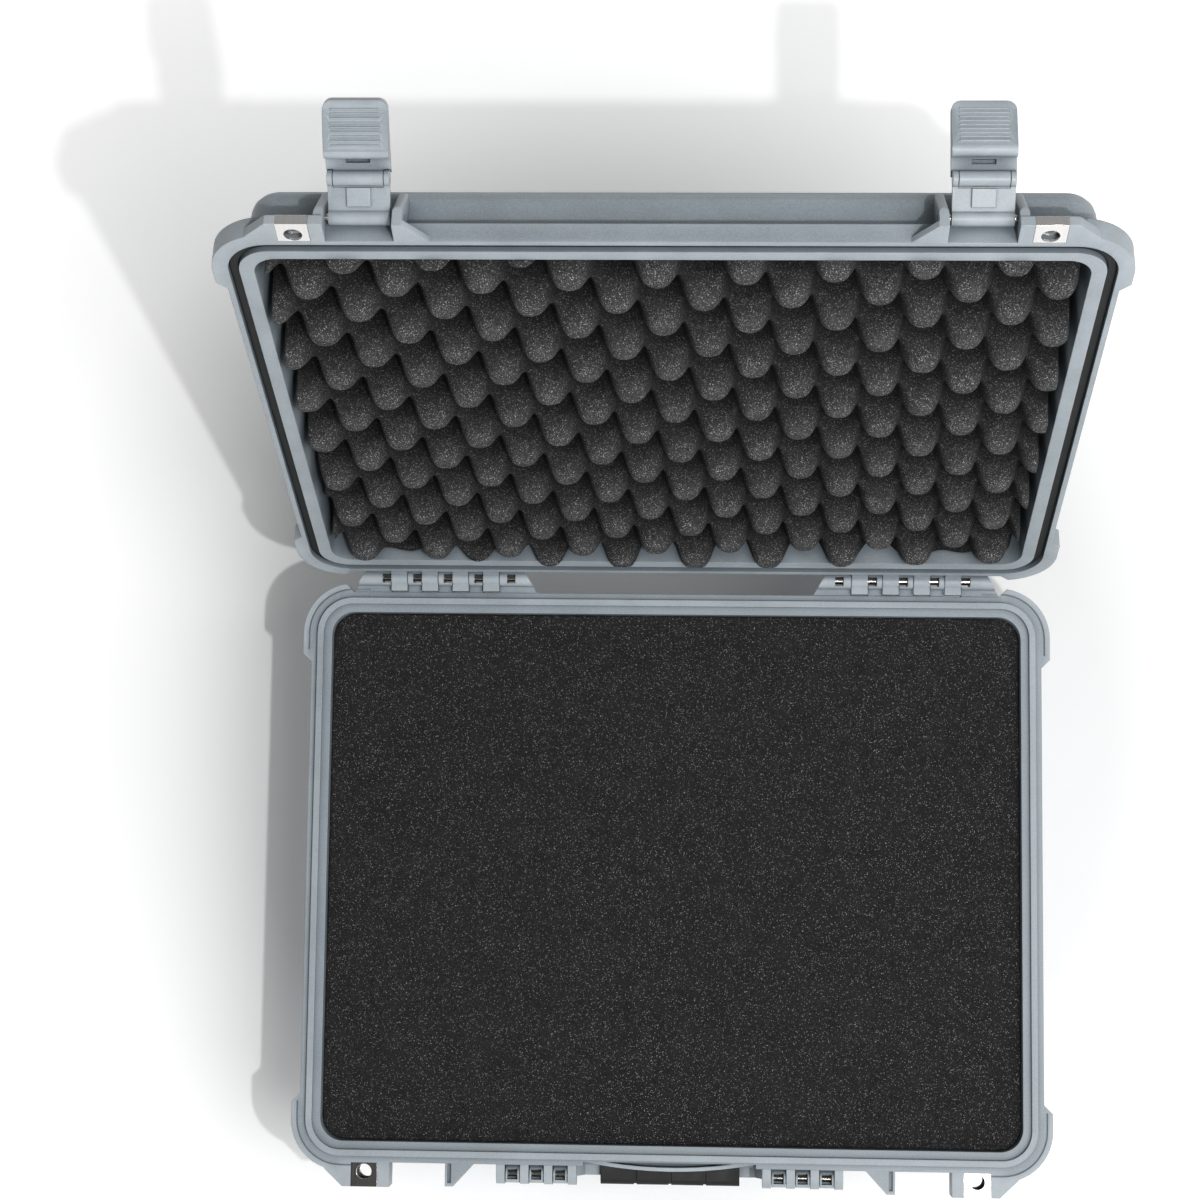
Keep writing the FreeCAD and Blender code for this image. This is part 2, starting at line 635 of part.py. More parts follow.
def handle_comb():
    pieces = []
    for index in range(COMB_KNUCKLES):
        xs = (f"{comb_middle(index)} - comb_width / 2", f"{comb_middle(index)} + comb_width / 2")
        pieces.append(rod(f"CombEye{index}", "x", "comb_radius", xs, (HANDLE_Y, HANDLE_Z)))
        zs = (f"{HANDLE_Z} - comb_radius", f"{HANDLE_Z} + comb_radius")
        pieces.append(box(f"CombNeck{index}", xs, (HANDLE_Y, f"{FRONT} + root"), zs))
    return pieces


def handle_pin_span():
    last = comb_middle(COMB_KNUCKLES - 1)
    return f"{comb_middle(0)} - comb_width / 2", f"{last} + comb_width / 2"


# Ribs on the walls of the base, tapering to nothing towards the ground
def wall_ribs():
    lean = "(opening_depth - floor_depth) / 2"
    pieces = []
    for name, middle, sign in (("BayRib", "bay_inner_x - wall_rib / 2", -1), ("BossRib", "padlock_x", -1),
                               ("HingeRibInner", "hinge_x - hinge_length / 4", 1),
                               ("HingeRibOuter", "hinge_x + hinge_length / 4", 1)):
        wall = f"{sign} * (opening_depth / 2 + base_wall"
        corners = (
            (f"{wall} - {lean} - base_wall / 2)", "wall_rib_low"),
            (f"{wall} - {lean})", "wall_rib_low"),
            (f"{wall} + wall_rib_reach)", f"{BAND_LOW} - wall_rib_low"),
            (f"{wall} + wall_rib_reach)", f"{BAND_LOW} + root"),
            (f"{wall} - base_wall / 2)", f"{BAND_LOW} + root"),
        )
        span = (f"{middle} - wall_rib / 2", f"{middle} + wall_rib / 2")
        pieces.append(prism(name, "YZ_Plane", corners, span))
    return pieces


def side_ribs():
    lean = "(opening_width - floor_width) / 2"
    wall = "(opening_width / 2 + base_wall"
    corners = (
        (f"{wall} - {lean} - base_wall / 2)", "wall_rib_low"),
        (f"{wall} - {lean})", "wall_rib_low"),
        (f"{wall} + wall_rib_reach)", f"{BAND_LOW} - wall_rib_low"),
        (f"{wall} + wall_rib_reach)", f"{BAND_LOW} + root"),
        (f"{wall} - base_wall / 2)", f"{BAND_LOW} + root"),
    )
    pieces = []
    for index in (-1, 0, 1):
        middle = f"{index} * side_rib_pitch"
        pieces.append(prism(f"SideRib{index + 1}", "XZ_Plane", corners,
                            (f"{middle} - wall_rib / 2", f"{middle} + wall_rib / 2")))
    return pieces


def stacking_rib(play, low, rise):
    half, end = f"(stack_length / 2 + {play})", f"(stack_length / 2 + {play} - stack_slope)"
    corners = ((f"-{half}", low), (half, low), (end, f"{low} + {rise}"), (f"-{end}", f"{low} + {rise}"))
    span = (f"stack_x - stack_width / 2 - {play}", f"stack_x + stack_width / 2 + {play}")
    return corners, span


def valve_bosses():
    y_front = "-(opening_depth / 2 + base_wall + valve_boss_reach)"
    y_back = "-(opening_depth / 2 - valve_pad_reach)"
    z = "base_height - valve_drop"
    return [rod("ValveBoss", "y", "valve_boss", (y_front, y_back), ("0", z))]


def bowed_lip():
    sag = "(lip_recess + lip_bulge)"
    bend = f"((lip_half ^ 2 + {sag} ^ 2) / (2 * {sag}))"
    centre = ("0", f"{FRONT} - lip_bulge + {bend}")
    span = ("base_height - lip_height", "base_height")
    outer = rod("LipOuter", "z", bend, span, centre)
    inner = rod("LipInner", "z", f"{bend} - lip_sheet", span, centre)
    ys = (f"{FRONT} - lip_bulge - overrun", f"{FRONT} + lip_recess")
    mask = box("LipMask", ("-lip_half", "lip_half"), ys, span)
    return common("Lip", (cut("LipArc", outer, inner), mask))


def base_shell():
    same = str
    low_top = (BAND_LOW, "base_height")
    bumpers = corner_pieces("Bumper", "opening_width / 2 + base_wall + bumper_reach",
                            "opening_depth / 2 + base_wall + bumper_reach", "lobe_radius",
                            ("bumper_low", f"{BAND_LOW} + root"))
    side = lobes("BaseLobe", low_top) + [boss("BaseBoss", "bay_outer_x", low_top, same)]
    side += [gusset("BaseGusset", low_top, same)] + hinge_block() + handle_comb() + wall_ribs() + side_ribs()
    pieces = both("BaseSide", side + bumpers) + valve_bosses()
    solid = fuse("BaseSolid", [base_tub()] + pieces)
    room = base_layer("BaseRoom", "base_floor", "base_height", "0")
    z = "base_height - valve_drop"
    pad_rod = rod("ValvePadKeep", "y", "valve_boss",
                  ("-(opening_depth / 2 + base_wall)", "-(opening_depth / 2 - valve_pad_reach)"), ("0", z))
    opened = cut("BaseOpened", solid, cut("BaseRoomCut", room, pad_rod))
    tongue = ("base_height - tongue_height", "base_height + tongue_height")
    ring = rim_ring("Tongue", "tongue_inset", "tongue_width", tongue)
    channel, span = stacking_rib("stack_play", "0", "stack_height")
    notch = (f"{BAND_LOW} - overrun", "base_height + overrun")
    side_tools = hinge_cuts() + [plate_notch("BaseNotch", notch, same)]
    side_tools.append(prism("StackChannel", "YZ_Plane", channel, span))
    middle = "bay_inner_x - gusset_tip / 2"
    side_tools.append(box("GussetSlot", (f"{middle} - gusset_slot / 2", f"{middle} + gusset_slot / 2"),
                          (f"{FRONT} - gusset_reach + gusset_slot", FRONT),
                          ("base_height - gusset_slot_depth", "base_height + overrun")))
    pin_low, pin_high = handle_pin_span()
    side_tools.append(rod("HandlePinBore", "x", "handle_pin + pin_play",
                          (f"{pin_low} - overrun", f"{pin_high} + overrun"), (HANDLE_Y, HANDLE_Z)))
    tools = both("BaseTool", side_tools) + lobe_lines()
    tools.append(box("LipRecess", ("-lip_half", "lip_half"), (f"{FRONT} - overrun", f"{FRONT} + lip_recess"),
                     ("base_height - lip_height", "base_height + overrun")))
    reach = "(opening_depth / 2 + base_wall + valve_boss_reach + overrun)"
    bore = (f"-{reach}", f"-floor_depth / 2 + {reach} - opening_depth / 2")
    tools.append(rod("ValveBore", "y", "valve_stem + pin_play", bore, ("0", z)))
    trimmed = cut("BaseTrimmed", fuse("BaseWithTongue", (opened, ring)), fuse("BaseTools", tools))
    node(fuse("BaseShell", (trimmed, bowed_lip())), "base_shell")


def base_plates():
    plate = node(padlock_plate("BasePlate", BAND_LOW, "base_height", str), "base_padlock_plate_right")
    node(mirror("BasePlateLeft", plate), "base_padlock_plate_left")


def hinge_pins():
    span = ("hinge_x - hinge_length / 2", "hinge_x + hinge_length / 2")
    right = node(rod("HingePin", "x", "hinge_pin", span, (HINGE_Y, HINGE_Z)), "hinge_pin_right")
    node(mirror("HingePinLeft", right), "hinge_pin_left")


def handle_pins():
    right = rod("HandlePin", "x", "handle_pin", handle_pin_span(), (HANDLE_Y, HANDLE_Z))
    node(right, "handle_pin_right")
    node(mirror("HandlePinLeft", right), "handle_pin_left")


# Handle: two arms with three eyes each and a bar, hanging from the pins
def handle_frame():
    pieces, windows = [], []
    eye_half = "(comb_pitch / 2 - comb_width / 2 - comb_gap)"
    thick = (f"{HANDLE_Y} - handle_thick / 2", f"{HANDLE_Y} + handle_thick / 2")
    for index in range(COMB_KNUCKLES - 1):
        middle = f"comb_x + {index + 0.5} * comb_pitch"
        xs = (f"{middle} - {eye_half}", f"{middle} + {eye_half}")
        pieces.append(rod(f"HandleEye{index}", "x", "eye_radius", xs, (HANDLE_Y, HANDLE_Z)))
        pieces.append(box(f"HandleNeck{index}", xs, thick, (f"{HANDLE_Z} - arm_top - root", HANDLE_Z)))
        windows.append(box(f"EyeWindow{index}", (f"{xs[0]} + eye_wall", f"{xs[1]} - eye_wall"),
                           (f"{HANDLE_Y} - eye_window", f"{HANDLE_Y} + eye_window"),
                           (HANDLE_Z, f"{HANDLE_Z} + eye_radius + overrun")))
    outer = f"comb_x + {COMB_KNUCKLES - 1.5} * comb_pitch + {eye_half}"
    inner = f"comb_x + comb_pitch / 2 - {eye_half}"
    bar_low = f"{HANDLE_Z} - handle_length - bar_height / 2"
    bar_top = f"{HANDLE_Z} - handle_length + bar_height / 2"
    corners = (
        (outer, f"{HANDLE_Z} - arm_top"),
        (outer, f"{HANDLE_Z} - handle_length / 2"),
        ("arm_foot_x", bar_low),
        ("grip_length / 2 - root", bar_low),
        ("grip_length / 2 - root", bar_top),
        ("arm_inner_x", bar_top),
        (inner, f"{HANDLE_Z} - handle_length / 2"),
        (inner, f"{HANDLE_Z} - arm_top"),
    )
    pieces.append(prism("HandleArm", "XZ_Plane", corners, thick))
    bar = box("HandleBar", ("-grip_length / 2", "grip_length / 2"), thick, (bar_low, bar_top))
    solid = fuse("HandleSolid", both("HandleSide", pieces) + [bar])
    pin_low, pin_high = handle_pin_span()
    span = (f"{pin_low} - overrun", f"{pin_high} + overrun")
    bore = rod("HandleEyeBore", "x", "handle_pin + pin_play", span, (HANDLE_Y, HANDLE_Z))
    node(cut("HandleFrame", solid, fuse("HandleBores", both("HandleBore", [bore] + windows))), "handle_frame")


def handle_grip():
    y, z = f"({HANDLE_Y} - grip_offset)", f"({HANDLE_Z} - handle_length)"
    body = doc.addObject("PartDesign::Body", "GripBody")
    sketch = new_sketch(body, "GripOutline", "YZ_Plane", "-grip_length / 2")
    half_y, half_z = "grip_depth / 2", "grip_height / 2"
    polygon(sketch, ((f"{y} - {half_y}", f"{z} - {half_z}"), (f"{y} + {half_y}", f"{z} - {half_z}"),
                     (f"{y} + {half_y}", f"{z} + {half_z}"), (f"{y} - {half_y}", f"{z} + {half_z}")))
    block = pad(body, sketch, "grip_length")
    round_edges(body, block, lambda edge: edge.BoundBox.XLength > value("grip_length") / 2, "grip_round")
    thick = (f"{HANDLE_Y} - handle_thick / 2 - grip_play", f"{HANDLE_Y} + handle_thick / 2 + grip_play")
    half_bar = "(bar_height / 2 + grip_play)"
    tools = [box("GripBore", ("-grip_length / 2 - overrun", "grip_length / 2 + overrun"), thick,
                 (f"{z} - {half_bar}", f"{z} + {half_bar}"))]
    for index in range(GRIP_GROOVES):
        middle = f"{index - (GRIP_GROOVES - 1) / 2} * grip_length / {GRIP_GROOVES + 1}"
        xs = (f"{middle} - grip_groove / 2", f"{middle} + grip_groove / 2")
        wide = box(f"GrooveWide{index}", xs, (f"{y} - grip_depth", f"{y} + grip_depth"),
                   (f"{z} - grip_height", f"{z} + grip_height"))
        deep_y, deep_z = "(grip_depth / 2 - grip_groove_depth)", "(grip_height / 2 - grip_groove_depth)"
        keep = box(f"GrooveKeep{index}", (f"{xs[0]} - overrun", f"{xs[1]} + overrun"),
                   (f"{y} - {deep_y}", f"{y} + {deep_y}"), (f"{z} - {deep_z}", f"{z} + {deep_z}"))
        tools.append(cut(f"Groove{index}", wide, keep))
    node(cut("HandleGrip", body, fuse("GripTools", tools)), "handle_grip")


# Pressure valve in the front wall, behind the handle
def valve():
    face = "-(opening_depth / 2 + base_wall + valve_boss_reach)"
    inside = "-(opening_depth / 2 - valve_pad_reach)"
    z = "base_height - valve_drop"
    cap_back = f"{face} - valve_gasket"
    cap = rod("ValveCap", "y", "valve_radius", (f"{cap_back} - valve_cap", cap_back), ("0", z))
    stem = rod("ValveStem", "y", "valve_stem", (cap_back, f"{inside} + valve_nut"), ("0", z))
    holes = []
    for index in range(VENT_HOLES):
        angle = f"{index} * 360 / {VENT_HOLES}"
        across = (f"valve_hole_ring * cos({angle})", f"{z} + valve_hole_ring * sin({angle})")
        span = (f"{cap_back} - valve_cap - overrun", f"{cap_back} - valve_cap / 2")
        holes.append(rod(f"VentHole{index}", "y", "valve_hole", span, across))
    node(cut("ValveBody", fuse("ValveSolid", (cap, stem)), fuse("VentHoles", holes)), "valve_body")
    ring = rod("GasketDisc", "y", "valve_radius - valve_gasket_lap", (cap_back, face), ("0", z))
    span = (f"{cap_back} - overrun", f"{face} + overrun")
    hole = rod("GasketHole", "y", "valve_stem + pin_play", span, ("0", z))
    node(cut("ValveGasket", ring, hole), "valve_gasket")
    corners = []
    for index in range(HEXAGON):
        angle = f"{index} * 360 / {HEXAGON}"
        corners.append((f"valve_nut_radius * cos({angle})", f"{z} + valve_nut_radius * sin({angle})"))
    hexagon = prism("NutHexagon", "XZ_Plane", corners, (inside, f"{inside} + valve_nut"))
    span = (f"{inside} - overrun", f"{inside} + valve_nut + overrun")
    bore = rod("NutBore", "y", "valve_stem + pin_play", span, ("0", z))
    node(cut("ValveNut", hexagon, bore), "valve_nut")


# Base foam: three layers that follow the tub's leaning walls
def base_foam():
    pad_top = "base_floor + foam_pad"
    lower_top = f"{pad_top} + foam_lower"
    node(base_layer("FoamPad", "base_floor", pad_top, "-foam_gap"), "base_foam_pad")
    node(base_layer("FoamLower", pad_top, lower_top, "-foam_gap"), "base_foam_lower")
    upper = base_layer("FoamUpper", lower_top, "base_height - foam_drop", "-foam_gap")
    half = "(valve_boss + foam_nut_room)"
    z = "base_height - valve_drop"
    back = "-(opening_depth / 2 - valve_pad_reach) + valve_nut + foam_nut_room"
    ys, zs = ("-opening_depth / 2 - overrun", back), (f"{z} - {half}", f"{z} + {half}")
    room = box("NutRoom", (f"-{half}", half), ys, zs)
    node(cut("FoamUpperCut", upper, room), "base_foam_upper")


# Lid tub, seen from the hinge axis in its closed position
def lid_sketch(body, name, z, half_x, half_y, radius):
    sketch = new_sketch(body, name, "XY_Plane", lid_z(z), lid_y("0"))
    rounded_rectangle(sketch, half_x, half_y, radius)
    return sketch


def lid_tub():
    body = doc.addObject("PartDesign::Body", "LidTub")
    top = "lid_depth + lid_skin"
    places = [("0", "lid_wall")]
    for drop, inset in reversed(edge_steps("lid_edge_round")):
        z = f"{top} - {drop}"
        places.append((z, f"lid_wall - lid_taper * ({z}) / ({top}) - {inset}"))
    sections = []
    for index, (z, wall) in enumerate(places):
        half_x, half_y = f"lid_opening_width / 2 + {wall}", f"lid_opening_depth / 2 + {wall}"
        sections.append(lid_sketch(body, f"Lid{index}", z, half_x, half_y, f"lid_opening_radius + {wall}"))
    loft(body, "LidOutside", sections)
    flange = lid_sketch(body, "LidFlange", "0", "rim_width / 2", "rim_depth / 2", "rim_radius")
    pad(body, flange, "lid_flange")
    return body


def lid_room():
    body = doc.addObject("PartDesign::Body", "LidRoom")
    half_x, half_y = "lid_opening_width / 2", "lid_opening_depth / 2"
    low = lid_sketch(body, "LidRoomLow", "0", half_x, half_y, "lid_opening_radius")
    top = lid_sketch(body, "LidRoomTop", "lid_depth", f"{half_x} - lid_taper", f"{half_y} - lid_taper",
                     "lid_opening_radius")
    loft(body, "LidRoomLoft", (low, top))
    return body


def latch_rib(name, xs):
    corners = (
        (f"{FRONT} + root", "0"),
        (f"{FRONT} - gusset_reach", "0"),
        (f"{FRONT} - gusset_reach", "rib_front_height"),
        (f"{FRONT} + rib_top_setback", "rib_top_height"),
        (f"-lid_opening_depth / 2 - lid_wall / 2", "rib_top_height"),
        (f"-lid_opening_depth / 2 - lid_wall / 2", "0"),
    )
    low, high = xs
    body = doc.addObject("PartDesign::Body", name)
    sketch = new_sketch(body, name + "Outline", "YZ_Plane", low)
    polygon(sketch, [(lid_y(y), lid_z(z)) for y, z in corners])
    made = pad(body, sketch, f"({high}) - ({low})")
    top, foot = value(lid_z("rib_top_height")), value(lid_z("rib_front_height"))

    def slanted(edge):
        low_end, high_end = edge.BoundBox.ZMin, edge.BoundBox.ZMax
        return abs(low_end - foot) < value("pin_play") and abs(high_end - top) < value("pin_play")

    round_edges(body, made, slanted, "rib_round")
    return body


def lid_knuckles():
    pieces = []
    for index in range(HINGE_KNUCKLES):
        low, high = f"{knuckle_x(index)} - knuckle_width / 2", f"{knuckle_x(index)} + knuckle_width / 2"
        pieces.append(rod(f"LidBarrel{index}", "x", "lid_barrel", (low, high), ("0", "0")))
        web = (lid_y("rim_depth / 2 - root"), "0")
        pieces.append(box(f"LidWeb{index}", (low, high), web, ("0", "lid_barrel")))
        tail = box(f"LidTail{index}", ("0", "knuckle_width"), ("0", "tail_length"), ("0", "tail_height"))
        turn = "lid_open_angle"
        y = f"-tail_length * cos({turn}) + tail_height / 2 * sin({turn})"
        z = f"-tail_length * sin({turn}) - tail_height / 2 * cos({turn})"
        place(tail, low, y, z, f"-{turn}")
        pieces.append(tail)
    return pieces


def lid_nubs():
    pieces = []
    for index in (-1, 0, 1):
        corners = (
            (lid_y(f"{FRONT} + root"), lid_z("lid_flange - root")),
            (lid_y(f"{FRONT} + root"), lid_z("lid_flange")),
            (lid_y("-lid_opening_depth / 2 - lid_wall / 2"), lid_z("lid_flange + nub_height")),
            (lid_y("-lid_opening_depth / 2 - lid_wall / 2"), lid_z("lid_flange - root")),
        )
        span = (f"{index} * nub_x - nub_width / 2", f"{index} * nub_x + nub_width / 2")
        pieces.append(prism(f"LidNub{index + 1}", "YZ_Plane", corners, span))
    return pieces


def lid_shell():
    flange = (lid_z("0"), lid_z("lid_flange"))
    boss_span = (lid_z("0"), lid_z("lid_boss_height"))
    side = lobes("LidLobe", flange, lid_y("0")) + [boss("LidBoss", "bay_outer_x", boss_span, lid_y)]
    side.append(gusset("LidGusset", (lid_z("0"), lid_z("lid_gusset_height")), lid_y))
    side.append(latch_rib("LidRibInner", ("bay_inner_x - rib_width", "bay_inner_x")))
    side.append(latch_rib("LidRibOuter", ("bay_outer_x", "bay_outer_x + rib_width")))
    ridge, span = stacking_rib("0", "lid_depth + lid_skin - root", "root + stack_height")
    side.append(prism("StackRidge", "YZ_Plane", [(lid_y(y), lid_z(z)) for y, z in ridge], span))
    solid = fuse("LidSolid", [lid_tub()] + both("LidSide", side + lid_knuckles()) + lid_nubs())
    side_tools = [plate_notch("LidNotch", (lid_z("-overrun"), lid_z("lid_boss_height + overrun")), lid_y)]
    reach = "(hinge_length / 2 + overrun)"
    span = (f"hinge_x - {reach}", f"hinge_x + {reach}")
    side_tools.append(rod("LidHingeBore", "x", "hinge_pin + pin_play", span, ("0", "0")))
    pin_low, pin_high = latch_pivot_span()
    span = (f"{pin_low} - overrun", f"{pin_high} + overrun")
    side_tools.append(rod("LidLatchBore", "x", "latch_pin + pin_play", span,
                          (lid_y(LATCH_Y), lid_z("latch_pivot_height"))))
    span = (lid_z("-overrun"), lid_z("groove_depth"))
    groove = rim_ring("Groove", "groove_inset", "groove_width", span, lid_y("0"))
    tools = both("LidTool", side_tools) + [groove, lid_room()]
    made = cut("LidShell", solid, fuse("LidTools", tools))
    place_on_lid(node(made, "lid_shell"))


def lid_seal():
    ring = rim_ring("SealRing", "groove_inset + seal_play", "groove_width - 2 * seal_play",
                    (lid_z("groove_depth - seal_height"), lid_z("groove_depth")), lid_y("0"))
    low = value(lid_z("groove_depth - seal_height"))
    round_edges(ring, ring.Tip, lambda edge: edge.BoundBox.ZMax < low + value("pin_play"), "seal_round")
    place_on_lid(node(ring, "lid_seal"))


def lid_plates():
    plate = padlock_plate("LidPlate", lid_z("0"), lid_z("lid_boss_height"), lid_y)
    place_on_lid(node(plate, "lid_padlock_plate_right"))
    node(mirror("LidPlateLeft", plate), "lid_padlock_plate_left")


# Egg-crate foam: a slab with round-tipped cones in staggered rows, cut off at the lid's walls
def foam_peak():
    foot, tip, height = value("peak_foot"), value("peak_tip"), value("peak_height")
    centre = FreeCAD.Vector(0, 0, height - tip)
    outside = FreeCAD.Vector(foot, 0, 0)
    reach = (centre - outside).Length
    slant = (reach ** 2 - tip ** 2) ** 0.5
    lean = (centre - outside) * (slant / reach) + FreeCAD.Vector(centre.z, 0, foot) * (tip / reach)
    touch = outside + lean.normalize() * slant
    top = FreeCAD.Vector(0, 0, height)
    middle = centre + (touch - centre + top - centre).normalize() * tip
    sunk = FreeCAD.Vector(foot, 0, -value("root"))
    axis = FreeCAD.Vector(0, 0, -value("root"))
    corners = (touch, outside, sunk, axis, top)
    edges = [Part.makeLine(start, end) for start, end in zip(corners, corners[1:])]
    edges.insert(0, Part.Arc(top, middle, touch).toShape())
    return Part.Face(Part.Wire(edges)).revolve(FreeCAD.Vector(), FreeCAD.Vector(0, 0, 1), 360)


def foam_room(name, low, high):
    body = doc.addObject("PartDesign::Body", name)
    sections = []
    for part, z in (("Low", low), ("High", high)):
        draw = f"(lid_taper * ({z}) / lid_depth + foam_gap)"
        sections.append(lid_sketch(body, name + part, z, f"lid_opening_width / 2 - {draw}",
                                   f"lid_opening_depth / 2 - {draw}", "lid_opening_radius - foam_gap"))
    loft(body, name + "Loft", sections)
    return body


def lid_foam():
    foot_z = "peak_height - peak_proud"
    slab = foam_room("FoamSlab", foot_z, "lid_depth - foam_gap")
    field = foam_room("FoamField", "-peak_proud - overrun", f"{foot_z} + root")
    doc.recompute()
    pitch = value("peak_pitch")
    half_x, half_y = value("lid_opening_width / 2"), value("lid_opening_depth / 2")
    hang = FreeCAD.Rotation(FreeCAD.Vector(1, 0, 0), 180)
    peak = foam_peak()
    peaks = []
    rows = int(half_y / value("peak_row")) + 1
    columns = int(half_x / pitch) + 2
    for row in range(-2 * rows, 2 * rows + 1):
        y = value("peak_start_y") + row * value("peak_row")
        for column in range(-columns, columns + 1):
            x = value("peak_start_x") + (column + row % 2 / 2) * pitch
            if abs(x) < half_x + value("peak_foot") and abs(y) < half_y + value("peak_foot"):
                spot = FreeCAD.Vector(x, y + value(lid_y("0")), value(lid_z(foot_z)))
                peaks.append(peak.transformed(FreeCAD.Placement(spot, hang).toMatrix()))
    peaks = [item.common(field.Shape) for item in peaks]
    made = doc.addObject("Part::Feature", "LidFoam")
    made.Shape = slab.Shape.multiFuse(peaks).Solids[0]
    place_on_lid(node(made, "lid_foam"))


# Latches: link and lever hang straight down in their own frames, then swing open
def latch_pivot_span():
    return "bay_inner_x - rib_width", "bay_outer_x + rib_width"


def pivot_place():
    y, z = f"({lid_y(LATCH_Y)})", f"({lid_z('latch_pivot_height')})"
    turn = "lid_open_angle"
    return (f"({HINGE_Y} + cos({turn}) * {y} + sin({turn}) * {z})",
            f"({HINGE_Z} - sin({turn}) * {y} + cos({turn}) * {z})")


def lever_place():
    y, z = pivot_place()
    turn = "(lid_open_angle + link_open_angle)"
    return f"({y} - link_length * sin({turn}))", f"({z} - link_length * cos({turn}))"


def middle_span(width):
    return f"-({width}) / 2", f"({width}) / 2"


def latch_link(name):
    across = middle_span("link_width")
    thick = ("-link_plate / 2", "link_plate / 2")
    clear = "-link_length + lever_barrel + latch_play"
    pieces = [rod(name + "Barrel", "x", "link_barrel", across, ("0", "0")),
              box(name + "Plate", across, thick, (clear, "0")),
              box(name + "Pad", middle_span("link_pad_width"), ("0", "link_plate / 2 + link_pad_rise"),
                  (clear, f"{clear} + link_pad_length"))]
    for side, xs in (("Left", (across[0], f"{across[0]} + ear_width")),
                     ("Right", (f"{across[1]} - ear_width", across[1]))):
        pieces.append(rod(f"{name}Eye{side}", "x", "lever_barrel", xs, ("0", "-link_length")))
        pieces.append(box(f"{name}Ear{side}", xs, thick, ("-link_length", f"{clear} + latch_play")))
    solid = fuse(name + "Solid", pieces)
    wide = ("-link_width", "link_width")
    bores = [rod(name + "PivotBore", "x", "latch_pin + pin_play", wide, ("0", "0")),
             rod(name + "LeverBore", "x", "lever_pin + pin_play", wide, ("0", "-link_length"))]
    return cut(name, solid, fuse(name + "Bores", bores))


def latch_lever(name):
    across = middle_span("lever_width")
    nose = "-hook_low - nose_round"
    corners = (
        ("-lever_barrel", "0"),
        ("-lever_barrel", "-tab_straight"),
        ("-tab_flare", "-lever_length"),
        ("-tab_flare + tab_edge", "-lever_length"),
        ("nose_reach", "-nose_low"),
        ("nose_reach - nose_round", nose),
        ("-lever_recess", nose),
        ("-lever_recess", "0"),
    )
    profile = prism(name + "Profile", "YZ_Plane", corners, across)
    barrel = rod(name + "Barrel", "x", "lever_barrel", across, ("0", "0"))
    pieces = [profile, barrel, rod(name + "Nose", "x", "nose_round", across, ("nose_reach - nose_round", nose))]
    run_y, run_z = "(-tab_flare + tab_edge - nose_reach)", "(-lever_length + nose_low)"
    slant = f"sqrt({run_y} ^ 2 + {run_z} ^ 2)"
    for index in range(GRIP_LINES):
        along = f"((grip_line_start + {index} * grip_line_pitch) / {slant})"
        xs = middle_span("lever_width - 2 * grip_line_margin")
        spot = (f"nose_reach + {run_y} * {along}", f"-nose_low + {run_z} * {along}")
        pieces.append(rod(f"{name}Line{index}", "x", "grip_line", xs, spot))
    body = doc.addObject("PartDesign::Body", name + "Front")
    sketch = new_sketch(body, name + "FrontOutline", "XZ_Plane", "-(lever_length)")
    half = "lever_width / 2"
    polygon(sketch, ((f"-{half}", "-lever_length"), (half, "-lever_length"), (half, "lever_barrel"),
                     (f"-{half}", "lever_barrel")))
    block = pad(body, sketch, "2 * lever_length")
    low = value("-lever_length")
    play = value("pin_play")

    def tab_end(edge):
        return abs(edge.BoundBox.Center.z - low) < play and edge.BoundBox.XLength < play

    round_edges(body, block, tab_end, "tab_corner")
    solid = common(name + "Solid", (fuse(name + "Whole", pieces), body))
    wide = ("-lever_width", "lever_width")
    inner = "link_width / 2 - ear_width - latch_play"
    tools = [rod(name + "PinBore", "x", "lever_pin + pin_play", wide, ("0", "0")),
             rod(name + "LeftRoom", "x", "lever_barrel + latch_play", (wide[0], f"-({inner})"), ("0", "0")),
             rod(name + "RightRoom", "x", "lever_barrel + latch_play", (inner, wide[1]), ("0", "0")),
             box(name + "Slot", middle_span("slot_width"), ("-lever_recess - slot_depth", "0"),
                 ("-slot_low", "-slot_low + slot_height"))]
    return cut(name, solid, fuse(name + "Tools", tools))


def latch(name, side):
    label = name.lower()
    x = f"{side} * {LATCH_X}"
    lever_angle = f"lid_open_angle + lever_{label}_angle"
    link_angle = "lid_open_angle + link_open_angle"
    link = node(latch_link("Link" + name), f"latch_link_{label}")
    place(link, x, *pivot_place(), link_angle)
    lever = node(latch_lever("Lever" + name), f"latch_lever_{label}")
    place(lever, x, *lever_place(), lever_angle)
    low, high = latch_pivot_span()
    half = f"({high} - ({low})) / 2"
    node(rod("PivotPin" + name, "x", "latch_pin", (f"{x} - {half}", f"{x} + {half}"), pivot_place()),
         f"latch_pivot_pin_{label}")
    half = "link_width / 2"
    node(rod("LeverPin" + name, "x", "lever_pin", (f"{x} - {half}", f"{x} + {half}"), lever_place()),
         f"latch_lever_pin_{label}")


def build():
    base_shell()
    base_plates()
    hinge_pins()
    handle_pins()
    handle_frame()
    handle_grip()
    valve()
    base_foam()
    lid_shell()
    lid_seal()
    lid_plates()
    lid_foam()
    latch("Left", -1)
    latch("Right", 1)
    doc.recompute()


def check():
    for item in doc.Objects:
        if "Invalid" in item.State or "Error" in item.State:
            raise RuntimeError(f"{item.Name} failed: {item.State}")
    for item in nodes:
        if item.Shape.isNull() or not item.Shape.isValid():
            raise RuntimeError(f"{item.Label} has no valid shape")


def write():
    os.makedirs("parts", exist_ok=True)
    for item in nodes:
        item.Shape.exportStep(f"parts/{item.Label}.step")
        print(item.Label, len(item.Shape.Solids), round(item.Shape.Volume), item.Shape.BoundBox)


build()
check()
write()
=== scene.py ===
import json
import math

import bmesh
import bpy
import numpy as np
from mathutils import Matrix, Vector


